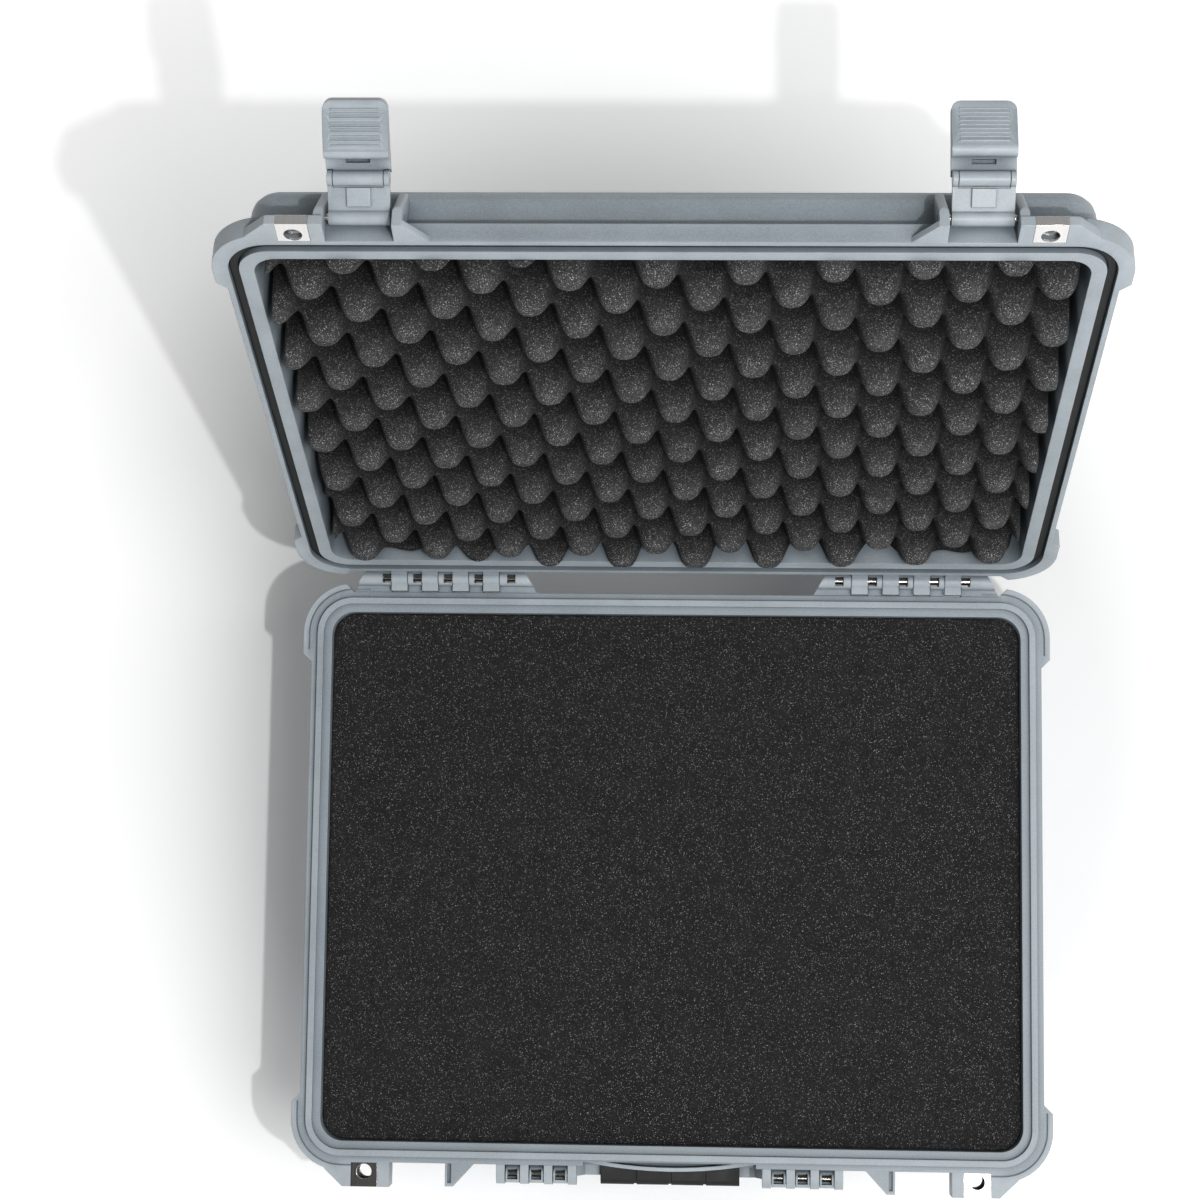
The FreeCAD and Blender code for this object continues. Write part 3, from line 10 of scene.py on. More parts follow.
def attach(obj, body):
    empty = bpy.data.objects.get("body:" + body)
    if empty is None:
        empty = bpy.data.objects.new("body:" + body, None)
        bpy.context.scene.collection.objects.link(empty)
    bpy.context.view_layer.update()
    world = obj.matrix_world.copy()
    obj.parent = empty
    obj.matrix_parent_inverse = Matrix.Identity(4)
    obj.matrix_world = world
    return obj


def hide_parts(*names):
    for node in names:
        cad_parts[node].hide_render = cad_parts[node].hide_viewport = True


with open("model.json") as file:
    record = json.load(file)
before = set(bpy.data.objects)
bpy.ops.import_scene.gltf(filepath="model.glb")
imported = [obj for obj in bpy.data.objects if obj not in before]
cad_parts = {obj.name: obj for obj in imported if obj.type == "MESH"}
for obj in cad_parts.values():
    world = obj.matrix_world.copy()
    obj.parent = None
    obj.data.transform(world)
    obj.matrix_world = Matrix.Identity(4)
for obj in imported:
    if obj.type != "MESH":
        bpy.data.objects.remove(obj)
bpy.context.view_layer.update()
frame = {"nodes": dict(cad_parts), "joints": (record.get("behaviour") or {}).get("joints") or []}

cadNodes = frame["nodes"]
print("frame loaded:", len(cadNodes), "nodes")


# node helpers, for materials, the world and geometry alike
def newMaterial(name):
    material = bpy.data.materials.new(name)
    material.use_nodes = True
    tree = material.node_tree
    return material, tree, tree.nodes["Principled BSDF"]


def addNode(tree, kind, settings=None, inputs=None):
    node = tree.nodes.new(kind)
    for key, setting in (settings or {}).items():
        setattr(node, key, setting)
    for key, setting in (inputs or {}).items():
        node.inputs[key].default_value = setting
    return node


def join(tree, source, sourceKey, target, targetKey):
    tree.links.new(source.outputs[sourceKey], target.inputs[targetKey])


def mathNode(tree, operation, first, second=None):
    node = addNode(tree, "ShaderNodeMath", {"operation": operation})
    for socket, item in zip(node.inputs, (first, second)):
        if isinstance(item, (int, float)):
            socket.default_value = item
        elif item is not None:
            tree.links.new(item, socket)
    return node.outputs[0]


def objectCoords(tree, scale=(1, 1, 1)):
    coords = addNode(tree, "ShaderNodeTexCoord")
    mapping = addNode(tree, "ShaderNodeMapping", inputs={"Scale": scale})
    join(tree, coords, "Object", mapping, "Vector")
    return mapping


def noise(tree, vector, scale, detail, rough):
    settings = {"Scale": scale, "Detail": detail, "Roughness": rough}
    node = addNode(tree, "ShaderNodeTexNoise", inputs=settings)
    join(tree, vector, "Vector", node, "Vector")
    return node


# each stop is a place and either a grey level or a colour
def ramp(tree, source, sourceKey, stops):
    node = addNode(tree, "ShaderNodeValToRGB")
    elements = node.color_ramp.elements
    while len(elements) < len(stops):
        elements.new(0.5)
    for element, (place, tone) in zip(elements, stops):
        element.position = place
        element.color = (*tone, 1) if isinstance(tone, tuple) else (tone, tone, tone, 1)
    join(tree, source, sourceKey, node, "Fac")
    return node


# lays the second colour over the first by a factor, or multiplies the two where none is given
def mixColour(tree, first, second, factor=None, factorKey=None):
    blend = "MULTIPLY" if factor is None else "MIX"
    node = addNode(tree, "ShaderNodeMix", {"data_type": "RGBA", "blend_type": blend}, {0: 1.0})
    if factor is not None:
        join(tree, factor, factorKey, node, 0)
    for key, item in ((6, first), (7, second)):
        if isinstance(item, tuple):
            node.inputs[key].default_value = (*item, 1)
        else:
            join(tree, item, 2 if item.bl_idname == "ShaderNodeMix" else 0, node, key)
    return node


# roughness that wanders with a pattern, below and above the finish's own level
def wanderingGloss(tree, source, level, below, above, shader):
    rough = ramp(tree, source, "Fac", [(0.3, level + below), (0.7, level + above)])
    join(tree, rough, "Color", shader, "Roughness")


# bump on edges softened by a small radius, or on the plain surface where there is none
def bump(tree, source, sourceKey, strength, depth, shader, edgeRound=None, samples=4):
    node = addNode(tree, "ShaderNodeBump", inputs={"Strength": strength, "Distance": depth})
    join(tree, source, sourceKey, node, "Height")
    if edgeRound is not None:
        soft = addNode(tree, "ShaderNodeBevel", {"samples": samples}, {"Radius": edgeRound})
        join(tree, soft, "Normal", node, "Normal")
    join(tree, node, "Normal", shader, "Normal")


# moulded plastic: faint flow streaks, fine grain, edges lighter from wear and a painted highlight,
# painted shade in corners
shellFinish = {
    "colour": (0.314, 0.360, 0.394),
    "streakDark": (0.288, 0.331, 0.363), "streaksPerMetre": (14, 14, 90),
    "cloud": ((0.35, 0.93), (0.68, 1.05)), "cloudsPerMetre": 26.0,
    "grain": ((0.38, 0.9), (0.6, 1.04)), "grainsPerMetre": 900.0, "grainDepth": 0.0003,
    # lighter edge colour: partly wear, partly painted highlight
    "edgeWearAndHighlight": (0.50, 0.55, 0.585), "edgeRound": 0.0009,
    # painted shade: colour and reach of the darkening in corners and creases
    "paintedCreaseShade": (0.42, 0.45, 0.47), "paintedShadeReach": 0.022,
    "roughness": 0.5, "specular": 0.42,
}
# latch plastic darker than the shell: partly its own tone, partly painted shade
latchFinish = dict(shellFinish, colour=(0.276, 0.317, 0.347), streakDark=(0.253, 0.292, 0.321),
                   roughness=0.45, edgeRound=0.0007)


def mouldedPlastic(name, finish):
    material, tree, shader = newMaterial(name)
    coords = objectCoords(tree)
    streak = noise(tree, objectCoords(tree, finish["streaksPerMetre"]), 1.0, 5.0, 0.6)
    cloud = noise(tree, coords, finish["cloudsPerMetre"], 4.0, 0.6)
    grain = noise(tree, coords, finish["grainsPerMetre"], 2.0, 0.5)
    tone = ramp(tree, streak, "Fac", [(0.32, finish["streakDark"]), (0.62, finish["colour"])])
    tone = mixColour(tree, tone, ramp(tree, cloud, "Fac", finish["cloud"]))
    tone = mixColour(tree, tone, ramp(tree, grain, "Fac", finish["grain"]))
    # edges lighter in colour, partly wear and partly painted highlight, broken up by the clouds
    geometry = addNode(tree, "ShaderNodeNewGeometry")
    edge = ramp(tree, geometry, "Pointiness", [(0.5, 0), (0.6, 1)])
    edgeWearAndHighlightMask = addNode(tree, "ShaderNodeMath", {"operation": "MULTIPLY"})
    join(tree, edge, "Color", edgeWearAndHighlightMask, 0)
    join(tree, cloud, "Fac", edgeWearAndHighlightMask, 1)
    tone = mixColour(tree, tone, finish["edgeWearAndHighlight"], edgeWearAndHighlightMask, "Value")
    # painted shade: corners and creases darkened by ambient occlusion
    creaseOcclusion = addNode(tree, "ShaderNodeAmbientOcclusion", {"samples": 8},
                     {"Distance": finish["paintedShadeReach"]})
    shade = ramp(tree, creaseOcclusion, "AO", [(0.35, finish["paintedCreaseShade"]), (0.95, 1)])
    tone = mixColour(tree, tone, shade)
    join(tree, tone, 2, shader, "Base Color")
    bump(tree, grain, "Fac", 0.16, finish["grainDepth"], shader, finish["edgeRound"], 6)
    wanderingGloss(tree, cloud, finish["roughness"], -0.07, 0.08, shader)
    shader.inputs["Specular IOR Level"].default_value = finish["specular"]
    return material


# steel with a fine brushed line: bright plates, pins darker and warmer as painted shade
steelFinish = {
    "light": (0.68, 0.668, 0.655), "dark": (0.63, 0.618, 0.605),
    "linesPerMetre": (5200.0, 60, 60), "lineDepth": 0.0001,
    "edgeRound": 0.0004, "roughness": 0.17,
}
# painted shade: the pins' steel made darker than the plates'
shadedPinFinish = dict(steelFinish, light=(0.46, 0.42, 0.38), dark=(0.40, 0.365, 0.33))


def brushedSteel(name, finish):
    material, tree, shader = newMaterial(name)
    line = noise(tree, objectCoords(tree, finish["linesPerMetre"]), 1.0, 2.0, 0.5)
    tone = ramp(tree, line, "Fac", [(0.3, finish["dark"]), (0.7, finish["light"])])
    join(tree, tone, "Color", shader, "Base Color")
    wanderingGloss(tree, line, finish["roughness"], 0.05, -0.03, shader)
    bump(tree, line, "Fac", 0.03, finish["lineDepth"], shader, finish["edgeRound"])
    shader.inputs["Metallic"].default_value = 1.0
    return material


# black rubber with dust in its pores, and the valve's plastic made the same way
rubberFinish = {
    "colour": (0.012, 0.0125, 0.013),
    "dust": (0.032, 0.033, 0.034), "dustPerMetre": 60.0,
    "poresPerMetre": 1400.0, "poreDepth": 0.0002,
    "edgeRound": 0.0006, "roughness": 0.6, "specular": 0.3,
}
gripFinish = dict(rubberFinish, colour=(0.009, 0.0092, 0.0095), dust=(0.02, 0.0205, 0.021),
                  roughness=0.55)
valveFinish = dict(rubberFinish, colour=(0.05, 0.052, 0.055), dust=(0.09, 0.092, 0.095),
                   roughness=0.42)


def blackRubber(name, finish):
    material, tree, shader = newMaterial(name)
    coords = objectCoords(tree)
    pores = noise(tree, coords, finish["poresPerMetre"], 2.0, 0.6)
    dust = noise(tree, coords, finish["dustPerMetre"], 4.0, 0.6)
    tone = ramp(tree, dust, "Fac", [(0.42, finish["colour"]), (0.8, finish["dust"])])
    join(tree, tone, "Color", shader, "Base Color")
    wanderingGloss(tree, dust, finish["roughness"], -0.1, 0.15, shader)
    bump(tree, pores, "Fac", 0.25, finish["poreDepth"], shader, finish["edgeRound"])
    shader.inputs["Specular IOR Level"].default_value = finish["specular"]
    return material


# open-cell foam: painted shade in the pits, lighter struts, painted glints on a share of cell
# walls
foamFinish = {
    "pit": (0.006, 0.006, 0.0065), "strut": (0.032, 0.032, 0.033),
    "spark": (0.50, 0.50, 0.505), "sparkFrom": 0.90,
    "cellsPerMetre": 2300.0, "cellTones": ((0.0, 0.35), (1.0, 1.65)), "cellDepth": 0.0007,
    "cloud": ((0.3, 0.82), (0.7, 1.18)), "cloudsPerMetre": 70.0,
    "roughness": 0.92, "specular": 0.2,
}
baseFoamFinish = dict(foamFinish, strut=(0.0225, 0.0225, 0.0225), spark=(0.36, 0.36, 0.36),
                      sparkFrom=0.945)
# painted shade: valleyShade darkens the foam from the tips down, by the height stored on its
# points
lidFoamFinish = dict(foamFinish, strut=(0.064, 0.064, 0.065), pit=(0.008, 0.008, 0.008),
                     valleyShade=((0.08, 0.05), (0.5, 0.26), (0.82, 0.74), (1.0, 1.2)))


def cellFoam(name, finish):
    material, tree, shader = newMaterial(name)
    coords = objectCoords(tree)
    cells = addNode(tree, "ShaderNodeTexVoronoi", {"feature": "F1"},
                    {"Scale": finish["cellsPerMetre"], "Randomness": 1.0})
    join(tree, coords, "Vector", cells, "Vector")
    cloud = noise(tree, coords, finish["cloudsPerMetre"], 4.0, 0.65)
    chance = addNode(tree, "ShaderNodeSeparateColor")
    join(tree, cells, "Color", chance, "Color")
    # painted shade in the pits of the cells
    tone = ramp(tree, cells, "Distance", [(0.12, finish["pit"]), (0.55, finish["strut"])])
    tone = mixColour(tree, tone, ramp(tree, chance, "Green", finish["cellTones"]))
    tone = mixColour(tree, tone, ramp(tree, cloud, "Fac", finish["cloud"]))
    # painted glints: a share of the cells made bright
    spark = ramp(tree, chance, "Red", [(finish["sparkFrom"], 0), (1.0, 1)])
    tone = mixColour(tree, tone, finish["spark"], spark, "Color")
    # painted shade in the valleys between the fingers
    if "valleyShade" in finish:
        height = addNode(tree, "ShaderNodeAttribute", {"attribute_name": "height"})
        tone = mixColour(tree, tone, ramp(tree, height, "Fac", finish["valleyShade"]))
    join(tree, tone, 2, shader, "Base Color")
    bump(tree, cells, "Distance", 0.7, finish["cellDepth"], shader)
    shader.inputs["Roughness"].default_value = finish["roughness"]
    shader.inputs["Specular IOR Level"].default_value = finish["specular"]
    return material


shellPlastic = mouldedPlastic("shellPlastic", shellFinish)
latchPlastic = mouldedPlastic("latchPlastic", latchFinish)
plateSteel = brushedSteel("plateSteel", steelFinish)
shadedPinSteel = brushedSteel("shadedPinSteel", shadedPinFinish)
sealRubber = blackRubber("sealRubber", rubberFinish)
gripRubber = blackRubber("gripRubber", gripFinish)
valvePlastic = blackRubber("valvePlastic", valveFinish)
baseFoamMaterial = cellFoam("baseFoam", baseFoamFinish)
lidFoamMaterial = cellFoam("lidFoam", lidFoamFinish)
print("materials made")

# the first of these words in a node's name gives its material; the foam nodes have none of them
finishByWord = (
    ("pin", shadedPinSteel), ("plate", plateSteel), ("latch", latchPlastic), ("grip", gripRubber),
    ("seal", sealRubber), ("gasket", sealRubber), ("valve", valvePlastic),
    ("shell", shellPlastic), ("frame", shellPlastic),
)


def dressCadNodes():
    for name, item in cadNodes.items():
        found = [material for word, material in finishByWord if word in name]
        if found:
            item.data.materials.clear()
            item.data.materials.append(found[0])
    print("rigid pieces dressed")


dressCadNodes()


# square sheet of points pressed into a rounded rectangle, corner by corner
def roundedGrid(halfX, halfY, radius, countX, countY):
    xs = np.linspace(-halfX, halfX, countX)
    ys = np.linspace(-halfY, halfY, countY)
    gridX, gridY = np.meshgrid(xs, ys, indexing="ij")
    overX = np.clip(np.abs(gridX) - (halfX - radius), 0, None) / radius
    overY = np.clip(np.abs(gridY) - (halfY - radius), 0, None) / radius
    corner = (overX > 0) & (overY > 0)
    newX = (halfX - radius) + radius * overX * np.sqrt(1 - overY ** 2 / 2)
    newY = (halfY - radius) + radius * overY * np.sqrt(1 - overX ** 2 / 2)
    gridX = np.where(corner, np.sign(gridX) * newX, gridX)
    gridY = np.where(corner, np.sign(gridY) * newY, gridY)
    return gridX, gridY


# the same sheet at one height, as x, y and z
def flatSheet(halfX, halfY, radius, counts, z):
    gridX, gridY = roundedGrid(halfX, halfY, radius, *counts)
    return gridX, gridY, np.full_like(gridX, z)


# places once round the edge of a sheet
def edgeOrder(countX, countY):
    order = [(i, 0) for i in range(countX)]
    order += [(countX - 1, j) for j in range(1, countY)]
    order += [(i, countY - 1) for i in range(countX - 2, -1, -1)]
    return order + [(0, j) for j in range(countY - 2, 0, -1)]


def edgePoints(sheet):
    rows, columns = np.array(edgeOrder(*sheet[0].shape)).T
    return np.stack([part[rows, columns] for part in sheet], 1)


# closed block from a front sheet, loops of points down its side and a back sheet, facing outwards
def blockMesh(name, front, sideLoops, back):
    countX, countY = front[0].shape
    edge = np.array([i * countY + j for i, j in edgeOrder(countX, countY)])
    edgeSize, sheetSize = len(edge), countX * countY
    backStart = sheetSize + edgeSize * len(sideLoops)
    points = [np.stack([part.ravel() for part in front], 1), *sideLoops]
    points.append(np.stack([part.ravel() for part in back], 1))
    loops = [edge]
    for k in range(len(sideLoops)):
        loops.append(np.arange(edgeSize) + sheetSize + edgeSize * k)
    loops.append(edge + backStart)
    faces = []
    for i in range(countX - 1):
        for j in range(countY - 1):
            a, b = i * countY + j, (i + 1) * countY + j
            c, d = b + 1, a + 1
            faces.append((a, b, c, d))
            faces.append((backStart + a, backStart + d, backStart + c, backStart + b))
    for first, second in zip(loops, loops[1:]):
        for k in range(edgeSize):
            n = (k + 1) % edgeSize
            faces.append((first[k], second[k], second[n], first[n]))
    mesh = bpy.data.meshes.new(name)
    mesh.from_pydata(np.concatenate(points).tolist(), [], [tuple(map(int, f)) for f in faces])
    mesh.validate()
    work = bmesh.new()
    work.from_mesh(mesh)
    bmesh.ops.recalc_face_normals(work, faces=work.faces)
    work.to_mesh(mesh)
    work.free()
    return mesh


def addFoam(name, mesh, body, node):
    mesh.shade_smooth()
    piece = bpy.data.objects.new(name, mesh)
    bpy.context.collection.objects.link(piece)
    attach(piece, body)
    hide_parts(node)


# lid foam: a slab whose front swells into staggered fingers, measured on the closed lid
eggCrate = {
    "halfX": 0.2350, "halfY": 0.1811, "radius": 0.0136,
    "taper": 0.0030, "wallRise": 0.044,  # how far the lid's walls lean in, over what rise
    "lidDepth": 0.0436, "foot": 0.0270, "height": 0.0322,
    "pitchX": 0.0507, "pitchY": 0.0493, "turn": 0.0627,
    "startX": 0.0031, "startY": 0.0308,
    "valley": 0.0, "tip": 0.92,  # shares of the wave where a finger starts and where it is full
    "wander": 0.0007, "wanderPerMetre": 55.0, "seed": 4.0,
    "step": 0.0019,
    "openDegrees": 110.9,  # lid leaning back as in the photograph
    "rimGap": 0.0003, "hingeRise": 0.00088,
}


def eggCrateTree():
    tree = bpy.data.node_groups.new("eggCrateFoam", "GeometryNodeTree")
    sizes = ("Pitch X", "Pitch Y", "Height", "Turn", "Start X", "Start Y", "Valley", "Tip",
             "Wander", "Wander Scale", "Seed")
    tree.interface.new_socket("Geometry", in_out="INPUT", socket_type="NodeSocketGeometry")
    for name in sizes:
        tree.interface.new_socket(name, in_out="INPUT", socket_type="NodeSocketFloat")
    tree.interface.new_socket("Material", in_out="INPUT", socket_type="NodeSocketMaterial")
    tree.interface.new_socket("Geometry", in_out="OUTPUT", socket_type="NodeSocketGeometry")
    start = addNode(tree, "NodeGroupInput")
    end = addNode(tree, "NodeGroupOutput")
    place = addNode(tree, "GeometryNodeInputPosition")
    front = addNode(tree, "GeometryNodeInputNamedAttribute", {"data_type": "FLOAT"},
                    {"Name": "front"})

    # two waves across the turned sheet, multiplied, give each point its share of a finger
    turned = addNode(tree, "ShaderNodeVectorRotate", {"rotation_type": "Z_AXIS"})
    join(tree, place, 0, turned, "Vector")
    join(tree, start, "Turn", turned, "Angle")
    parts = addNode(tree, "ShaderNodeSeparateXYZ")
    join(tree, turned, 0, parts, 0)
    waves = []
    for letter in "XY":
        rate = mathNode(tree, "DIVIDE", 2 * math.pi, start.outputs["Pitch " + letter])
        shift = mathNode(tree, "SUBTRACT", parts.outputs[letter], start.outputs["Start " + letter])
        waves.append(mathNode(tree, "COSINE", mathNode(tree, "MULTIPLY", shift, rate)))
    both = mathNode(tree, "MULTIPLY", *waves)
    share = mathNode(tree, "MULTIPLY", mathNode(tree, "ADD", both, 1.0), 0.5)
    finger = addNode(tree, "ShaderNodeMapRange", {"interpolation_type": "SMOOTHSTEP"})
    tree.links.new(share, finger.inputs["Value"])
    join(tree, start, "Valley", finger, "From Min")
    join(tree, start, "Tip", finger, "From Max")

    # only the front moves; its height is kept for the painted shade in the material
    shaped = mathNode(tree, "MULTIPLY", finger.outputs["Result"], front.outputs["Attribute"])
    store = addNode(tree, "GeometryNodeStoreNamedAttribute", inputs={"Name": "height"})
    join(tree, start, "Geometry", store, "Geometry")
    tree.links.new(shaped, store.inputs["Value"])
    rise = mathNode(tree, "MULTIPLY", shaped, start.outputs["Height"])

    # slight unevenness of cut foam
    rough = addNode(tree, "ShaderNodeTexNoise", {"noise_dimensions": "4D"})
    join(tree, place, 0, rough, "Vector")
    join(tree, start, "Wander Scale", rough, "Scale")
    join(tree, start, "Seed", rough, "W")
    uneven = mathNode(tree, "SUBTRACT", rough.outputs[0], 0.5)
    uneven = mathNode(tree, "MULTIPLY", uneven, start.outputs["Wander"])
    uneven = mathNode(tree, "MULTIPLY", uneven, front.outputs["Attribute"])
    offset = addNode(tree, "ShaderNodeCombineXYZ")
    tree.links.new(mathNode(tree, "SUBTRACT", uneven, rise), offset.inputs["Z"])
    move = addNode(tree, "GeometryNodeSetPosition")
    join(tree, store, "Geometry", move, "Geometry")
    join(tree, offset, 0, move, "Offset")
    real = addNode(tree, "GeometryNodeRealizeInstances")
    join(tree, move, 0, real, 0)
    paint = addNode(tree, "GeometryNodeSetMaterial")
    join(tree, real, 0, paint, "Geometry")
    join(tree, start, "Material", paint, "Material")
    join(tree, paint, 0, end, 0)
    return tree


# runs a tree on a mesh and gives back the plain result
def applyTree(name, mesh, tree, settings):
    item = bpy.data.objects.new(name + "Source", mesh)
    bpy.context.collection.objects.link(item)
    modifier = item.modifiers.new("shape", "NODES")
    modifier.node_group = tree
    sockets = [socket for socket in tree.interface.items_tree if socket.in_out == "INPUT"]
    named = {socket.name: socket.identifier for socket in sockets}
    for key, setting in settings.items():
        modifier[named[key]] = setting
    depsgraph = bpy.context.evaluated_depsgraph_get()
    result = bpy.data.meshes.new_from_object(item.evaluated_get(depsgraph))
    result.name = name
    item.modifiers.remove(modifier)
    bpy.data.objects.remove(item)
    return result


# closed lid, measured from the middle of its rim plane, to its open place
def lidMatrix(values):
    joint = [joint for joint in frame["joints"] if joint["name"] == "lid_hinge"][0]
    hinge = Vector(joint["pos_m"])
    openTurn = Matrix.Rotation(-math.radians(values["openDegrees"]), 4, "X")
    closed = Matrix.Translation((0, -hinge.y, values["rimGap"] - values["hingeRise"]))
    return Matrix.Translation(hinge) @ openTurn @ closed


def lidFoam(values):
    leanFront = values["taper"] * values["foot"] / values["wallRise"]
    leanBack = values["taper"] * values["lidDepth"] / values["wallRise"]
    halfX, halfY, radius = values["halfX"], values["halfY"], values["radius"]
    counts = [int(2 * (half - leanFront) / values["step"]) for half in (halfX, halfY)]
    front = flatSheet(halfX - leanFront, halfY - leanFront, radius, counts, values["foot"])
    back = flatSheet(halfX - leanBack, halfY - leanBack, radius, counts, values["lidDepth"])
    middle = (edgePoints(front) + edgePoints(back)) / 2
    mesh = blockMesh("lidEggCrate", front, [middle], back)
    isFront = np.arange(len(mesh.vertices)) < front[0].size
    attribute = mesh.attributes.new("front", "FLOAT", "POINT")
    attribute.data.foreach_set("value", isFront.astype(np.float32))
    settings = {
        "Pitch X": values["pitchX"], "Pitch Y": values["pitchY"], "Height": values["height"],
        "Turn": values["turn"], "Start X": values["startX"], "Start Y": values["startY"],
        "Valley": values["valley"], "Tip": values["tip"], "Wander": values["wander"],
        "Wander Scale": values["wanderPerMetre"], "Seed": values["seed"],
        "Material": lidFoamMaterial,
    }
    shaped = applyTree("lidEggCrate", mesh, eggCrateTree(), settings)
    shaped.transform(lidMatrix(values))
    addFoam("lidEggCrate", shaped, "lid", "lid_foam")
    print("lid foam:", len(shaped.polygons), "faces")


lidFoam(eggCrate)

# base foam: three flat layers that lean with the walls, the top one a little uneven
baseFoam = {
    "rim": 0.160, "floor": 0.007,
    "floorHalf": (0.2365, 0.180), "rimHalf": (0.24235, 0.18425),
    "floorRadius": 0.020, "rimRadius": 0.016,
    "gap": 0.0004,
    "soften": 0.0012,
    "uneven": 0.00035, "waves": 24, "waveRate": 60, "seed": 7,
    # piece, node that it replaces, bottom, top, points along X and Y
    "layers": (
        ("baseFoamPad", "base_foam_pad", 0.007, 0.019, (31, 25)),
        ("baseFoamLower", "base_foam_lower", 0.019, 0.085, (31, 25)),
        ("baseFoamUpper", "base_foam_upper", 0.085, 0.154, (121, 93)),
    ),
}


# half sizes and corner radius of the block at a height, a gap inside the walls
def foamSection(values, z):
    rise = (z - values["floor"]) / (values["rim"] - values["floor"])
    sizes = []
    for low, high in zip((*values["floorHalf"], values["floorRadius"]),
                         (*values["rimHalf"], values["rimRadius"])):
        sizes.append(low + (high - low) * rise - values["gap"])
    return sizes


def foamLayer(values, name, node, bottom, top, counts):
    soft = values["soften"]
    inset = [size - soft for size in foamSection(values, top)]
    upper = flatSheet(*inset, counts, top)
    if node == "base_foam_upper":
        gridX, gridY, gridZ = upper
        rng = np.random.default_rng(values["seed"])
        depth = values["uneven"] / (values["waves"] / 2)
        for _ in range(values["waves"]):
            kx, ky = rng.uniform(-values["waveRate"], values["waveRate"], 2)
            gridZ -= depth * (1 + np.cos(kx * gridX + ky * gridY + rng.uniform(0, 6.28)))
    lower = flatSheet(*foamSection(values, bottom), counts, bottom)
    shoulder = edgePoints(flatSheet(*foamSection(values, top - soft), counts, top - soft))
    middle = (edgePoints(upper) + edgePoints(lower)) / 2
    mesh = blockMesh(name, upper, [shoulder, middle], lower)
    mesh.materials.append(baseFoamMaterial)
    addFoam(name, mesh, "base", node)


for layer in baseFoam["layers"]:
    foamLayer(baseFoam, *layer)
print("base foam laid")

# white paper floor that glows only where it is seen, more so further from the case
paperFloor = {
    "colour": (1.0, 1.0, 1.0), "half": 30.0,
    "glowCentre": (0, 0.1, 0), "glowReach": 3.0,
    "glow": ((0.11, 0.0), (0.18, 0.37), (0.4, 0.66), (1.0, 0.95)),
}


def studioFloor(values):
    mesh = bpy.data.meshes.new("floor")
    half = values["half"]
    corners = [(-half, -half, 0), (half, -half, 0), (half, half, 0), (-half, half, 0)]
    mesh.from_pydata(corners, [], [(0, 1, 2, 3)])
    floor = bpy.data.objects.new("floor", mesh)
    bpy.context.collection.objects.link(floor)
    material, tree, shader = newMaterial("floorPaper")
    shader.inputs["Base Color"].default_value = (*values["colour"], 1)
    shader.inputs["Roughness"].default_value = 1.0
    shader.inputs["Specular IOR Level"].default_value = 0.0
    shader.inputs["Emission Color"].default_value = (1, 1, 1, 1)
    path = addNode(tree, "ShaderNodeLightPath").outputs
    seen = mathNode(tree, "MAXIMUM", path["Is Camera Ray"], path["Is Glossy Ray"])
    seen = mathNode(tree, "MAXIMUM", seen, path["Is Transmission Ray"])
    coords = addNode(tree, "ShaderNodeTexCoord")
    away = addNode(tree, "ShaderNodeVectorMath", {"operation": "DISTANCE"},
                   {1: values["glowCentre"]})
    join(tree, coords, "Object", away, 0)
    reach = addNode(tree, "ShaderNodeMapRange", inputs={"From Max": values["glowReach"]})
    join(tree, away, "Value", reach, "Value")
    fade = ramp(tree, reach, "Result", values["glow"])
    glow = mathNode(tree, "MULTIPLY", seen, fade.outputs["Color"])
    tree.links.new(glow, shader.inputs["Emission Strength"])
    mesh.materials.append(material)


# soft light all round, from direction to strength: from, to, strength there and there
studioWorld = {
    "light": (-1.0, 1.0, 0.36, 0.12),  # along Y, on matt surfaces
    "sideGlow": (-0.08, 0.35, 0.03, 0.7),  # along X, in reflections
    "backGlow": (0.4, 0.8, 0.0, 0.42),  # along Y, in reflections
    "seen": 1.0,  # behind everything
}


def worldLean(tree, parts, letter, span):
    names = ("From Min", "From Max", "To Min", "To Max")
    node = addNode(tree, "ShaderNodeMapRange", inputs=dict(zip(names, span)))
    join(tree, parts, letter, node, "Value")
    return node.outputs["Result"]


def chooseStrength(tree, ray, otherwise, chosen):
    node = addNode(tree, "ShaderNodeMix", {"data_type": "FLOAT"})
    tree.links.new(ray, node.inputs[0])
    tree.links.new(otherwise, node.inputs[2])
    if isinstance(chosen, float):
        node.inputs[3].default_value = chosen
    else:
        tree.links.new(chosen, node.inputs[3])
    return node.outputs[0]


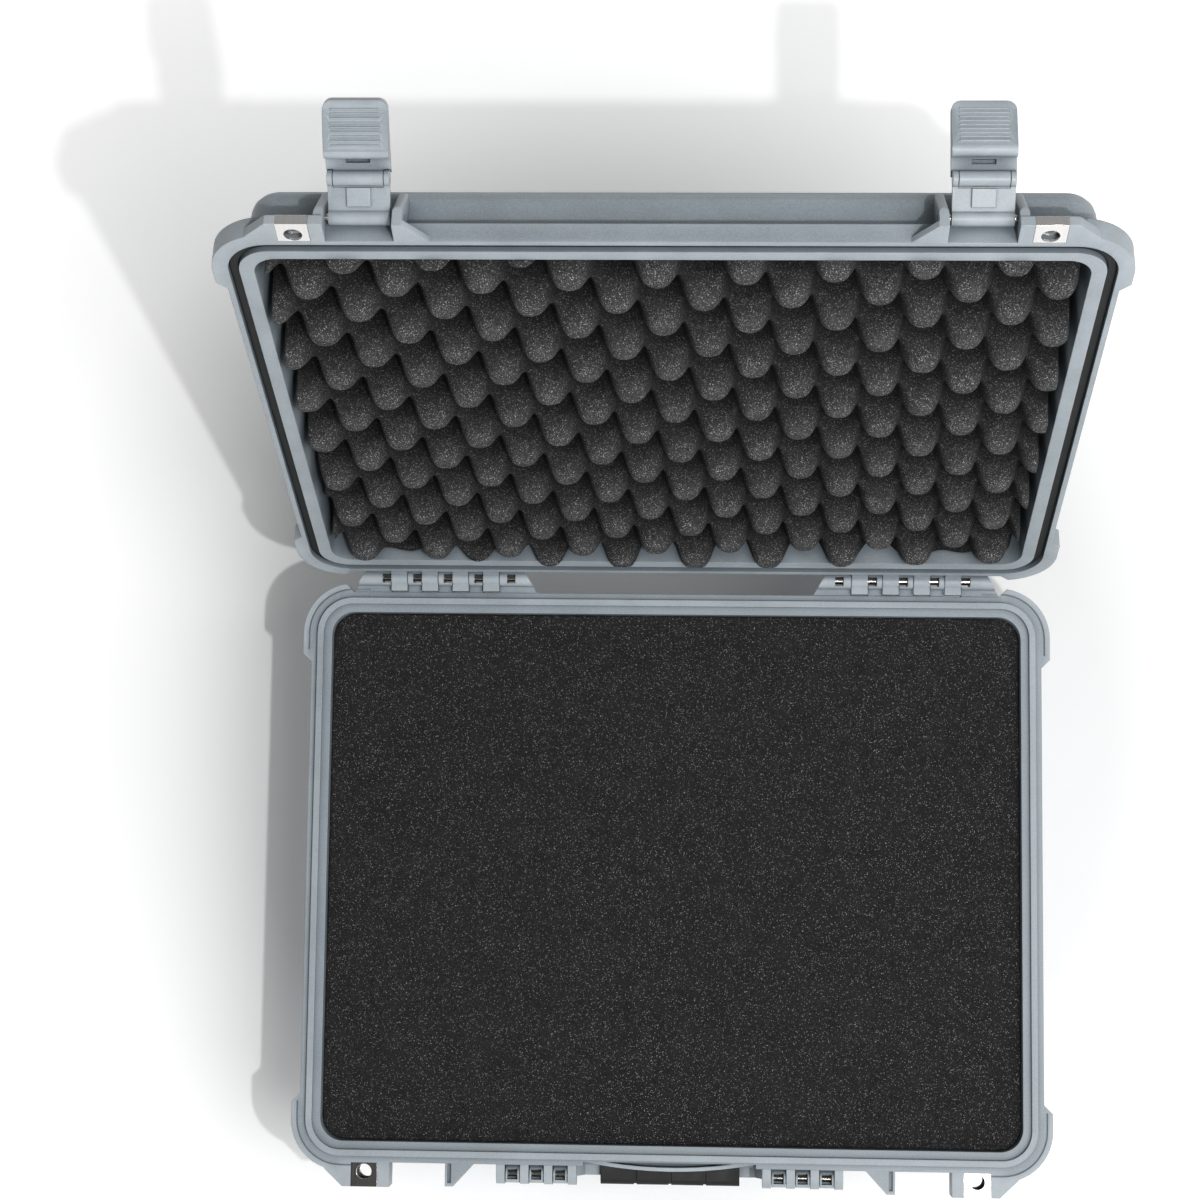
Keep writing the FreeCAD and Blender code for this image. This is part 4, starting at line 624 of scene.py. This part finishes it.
def lightWorld(values):
    world = bpy.data.worlds.new("studioWorld")
    bpy.context.scene.world = world
    world.use_nodes = True
    tree = world.node_tree
    background = tree.nodes["Background"]
    background.inputs["Color"].default_value = (1, 1, 1, 1)
    coords = addNode(tree, "ShaderNodeTexCoord")
    parts = addNode(tree, "ShaderNodeSeparateXYZ")
    join(tree, coords, "Generated", parts, "Vector")
    light = worldLean(tree, parts, "Y", values["light"])
    sideGlow = worldLean(tree, parts, "X", values["sideGlow"])
    backGlow = worldLean(tree, parts, "Y", values["backGlow"])
    reflected = mathNode(tree, "MAXIMUM", sideGlow, backGlow)
    path = addNode(tree, "ShaderNodeLightPath").outputs
    strength = chooseStrength(tree, path["Is Glossy Ray"], light, reflected)
    strength = chooseStrength(tree, path["Is Camera Ray"], strength, values["seen"])
    tree.links.new(strength, background.inputs["Strength"])


# round lamps: place, aim, size across and power
lamps = {
    "keyLamp": ((0.36, -0.2, 1.90), (0, 0.1, 0.1), 0.035, 10.5),
    "softLamp": ((0.95, -0.35, 2.3), (0, 0.1, 0.1), 1.5, 28.0),
    "fillLamp": ((-0.3, -2.2, 1.3), (0, 0.1, 0.2), 2.0, 9.0),
}


def areaLamp(name, place, aim, size, power):
    lamp = bpy.data.lights.new(name, "AREA")
    lamp.shape = "DISK"
    lamp.size = size
    lamp.energy = power
    item = bpy.data.objects.new(name, lamp)
    bpy.context.collection.objects.link(item)
    item.location = place
    item.rotation_euler = (Vector(aim) - Vector(place)).to_track_quat("-Z", "Y").to_euler()


# camera fitted to the photograph, almost straight above the case
photoCamera = {
    "sensor": 36.0, "lens": 74.10, "farthest": 200.0,
    "place": (0.02259, 0.00320, 1.89310),
    "right": (0.99903, 0.01308, -0.04201),
    "up": (-0.00839, 0.99391, 0.10984),
    "back": (0.04319, -0.10938, 0.99306),
}


def studioCamera(values):
    camera = bpy.data.cameras.new("photoCamera")
    camera.sensor_fit = "HORIZONTAL"
    camera.sensor_width = values["sensor"]
    camera.lens = values["lens"]
    camera.clip_end = values["farthest"]
    item = bpy.data.objects.new("photoCamera", camera)
    bpy.context.collection.objects.link(item)
    turn = Matrix((values["right"], values["up"], values["back"])).transposed().to_4x4()
    item.matrix_world = Matrix.Translation(values["place"]) @ turn
    bpy.context.scene.camera = item


studioFloor(paperFloor)
lightWorld(studioWorld)
for name, settings in lamps.items():
    areaLamp(name, *settings)
studioCamera(photoCamera)
bpy.context.scene.view_settings.view_transform = "Standard"
print("studio set")
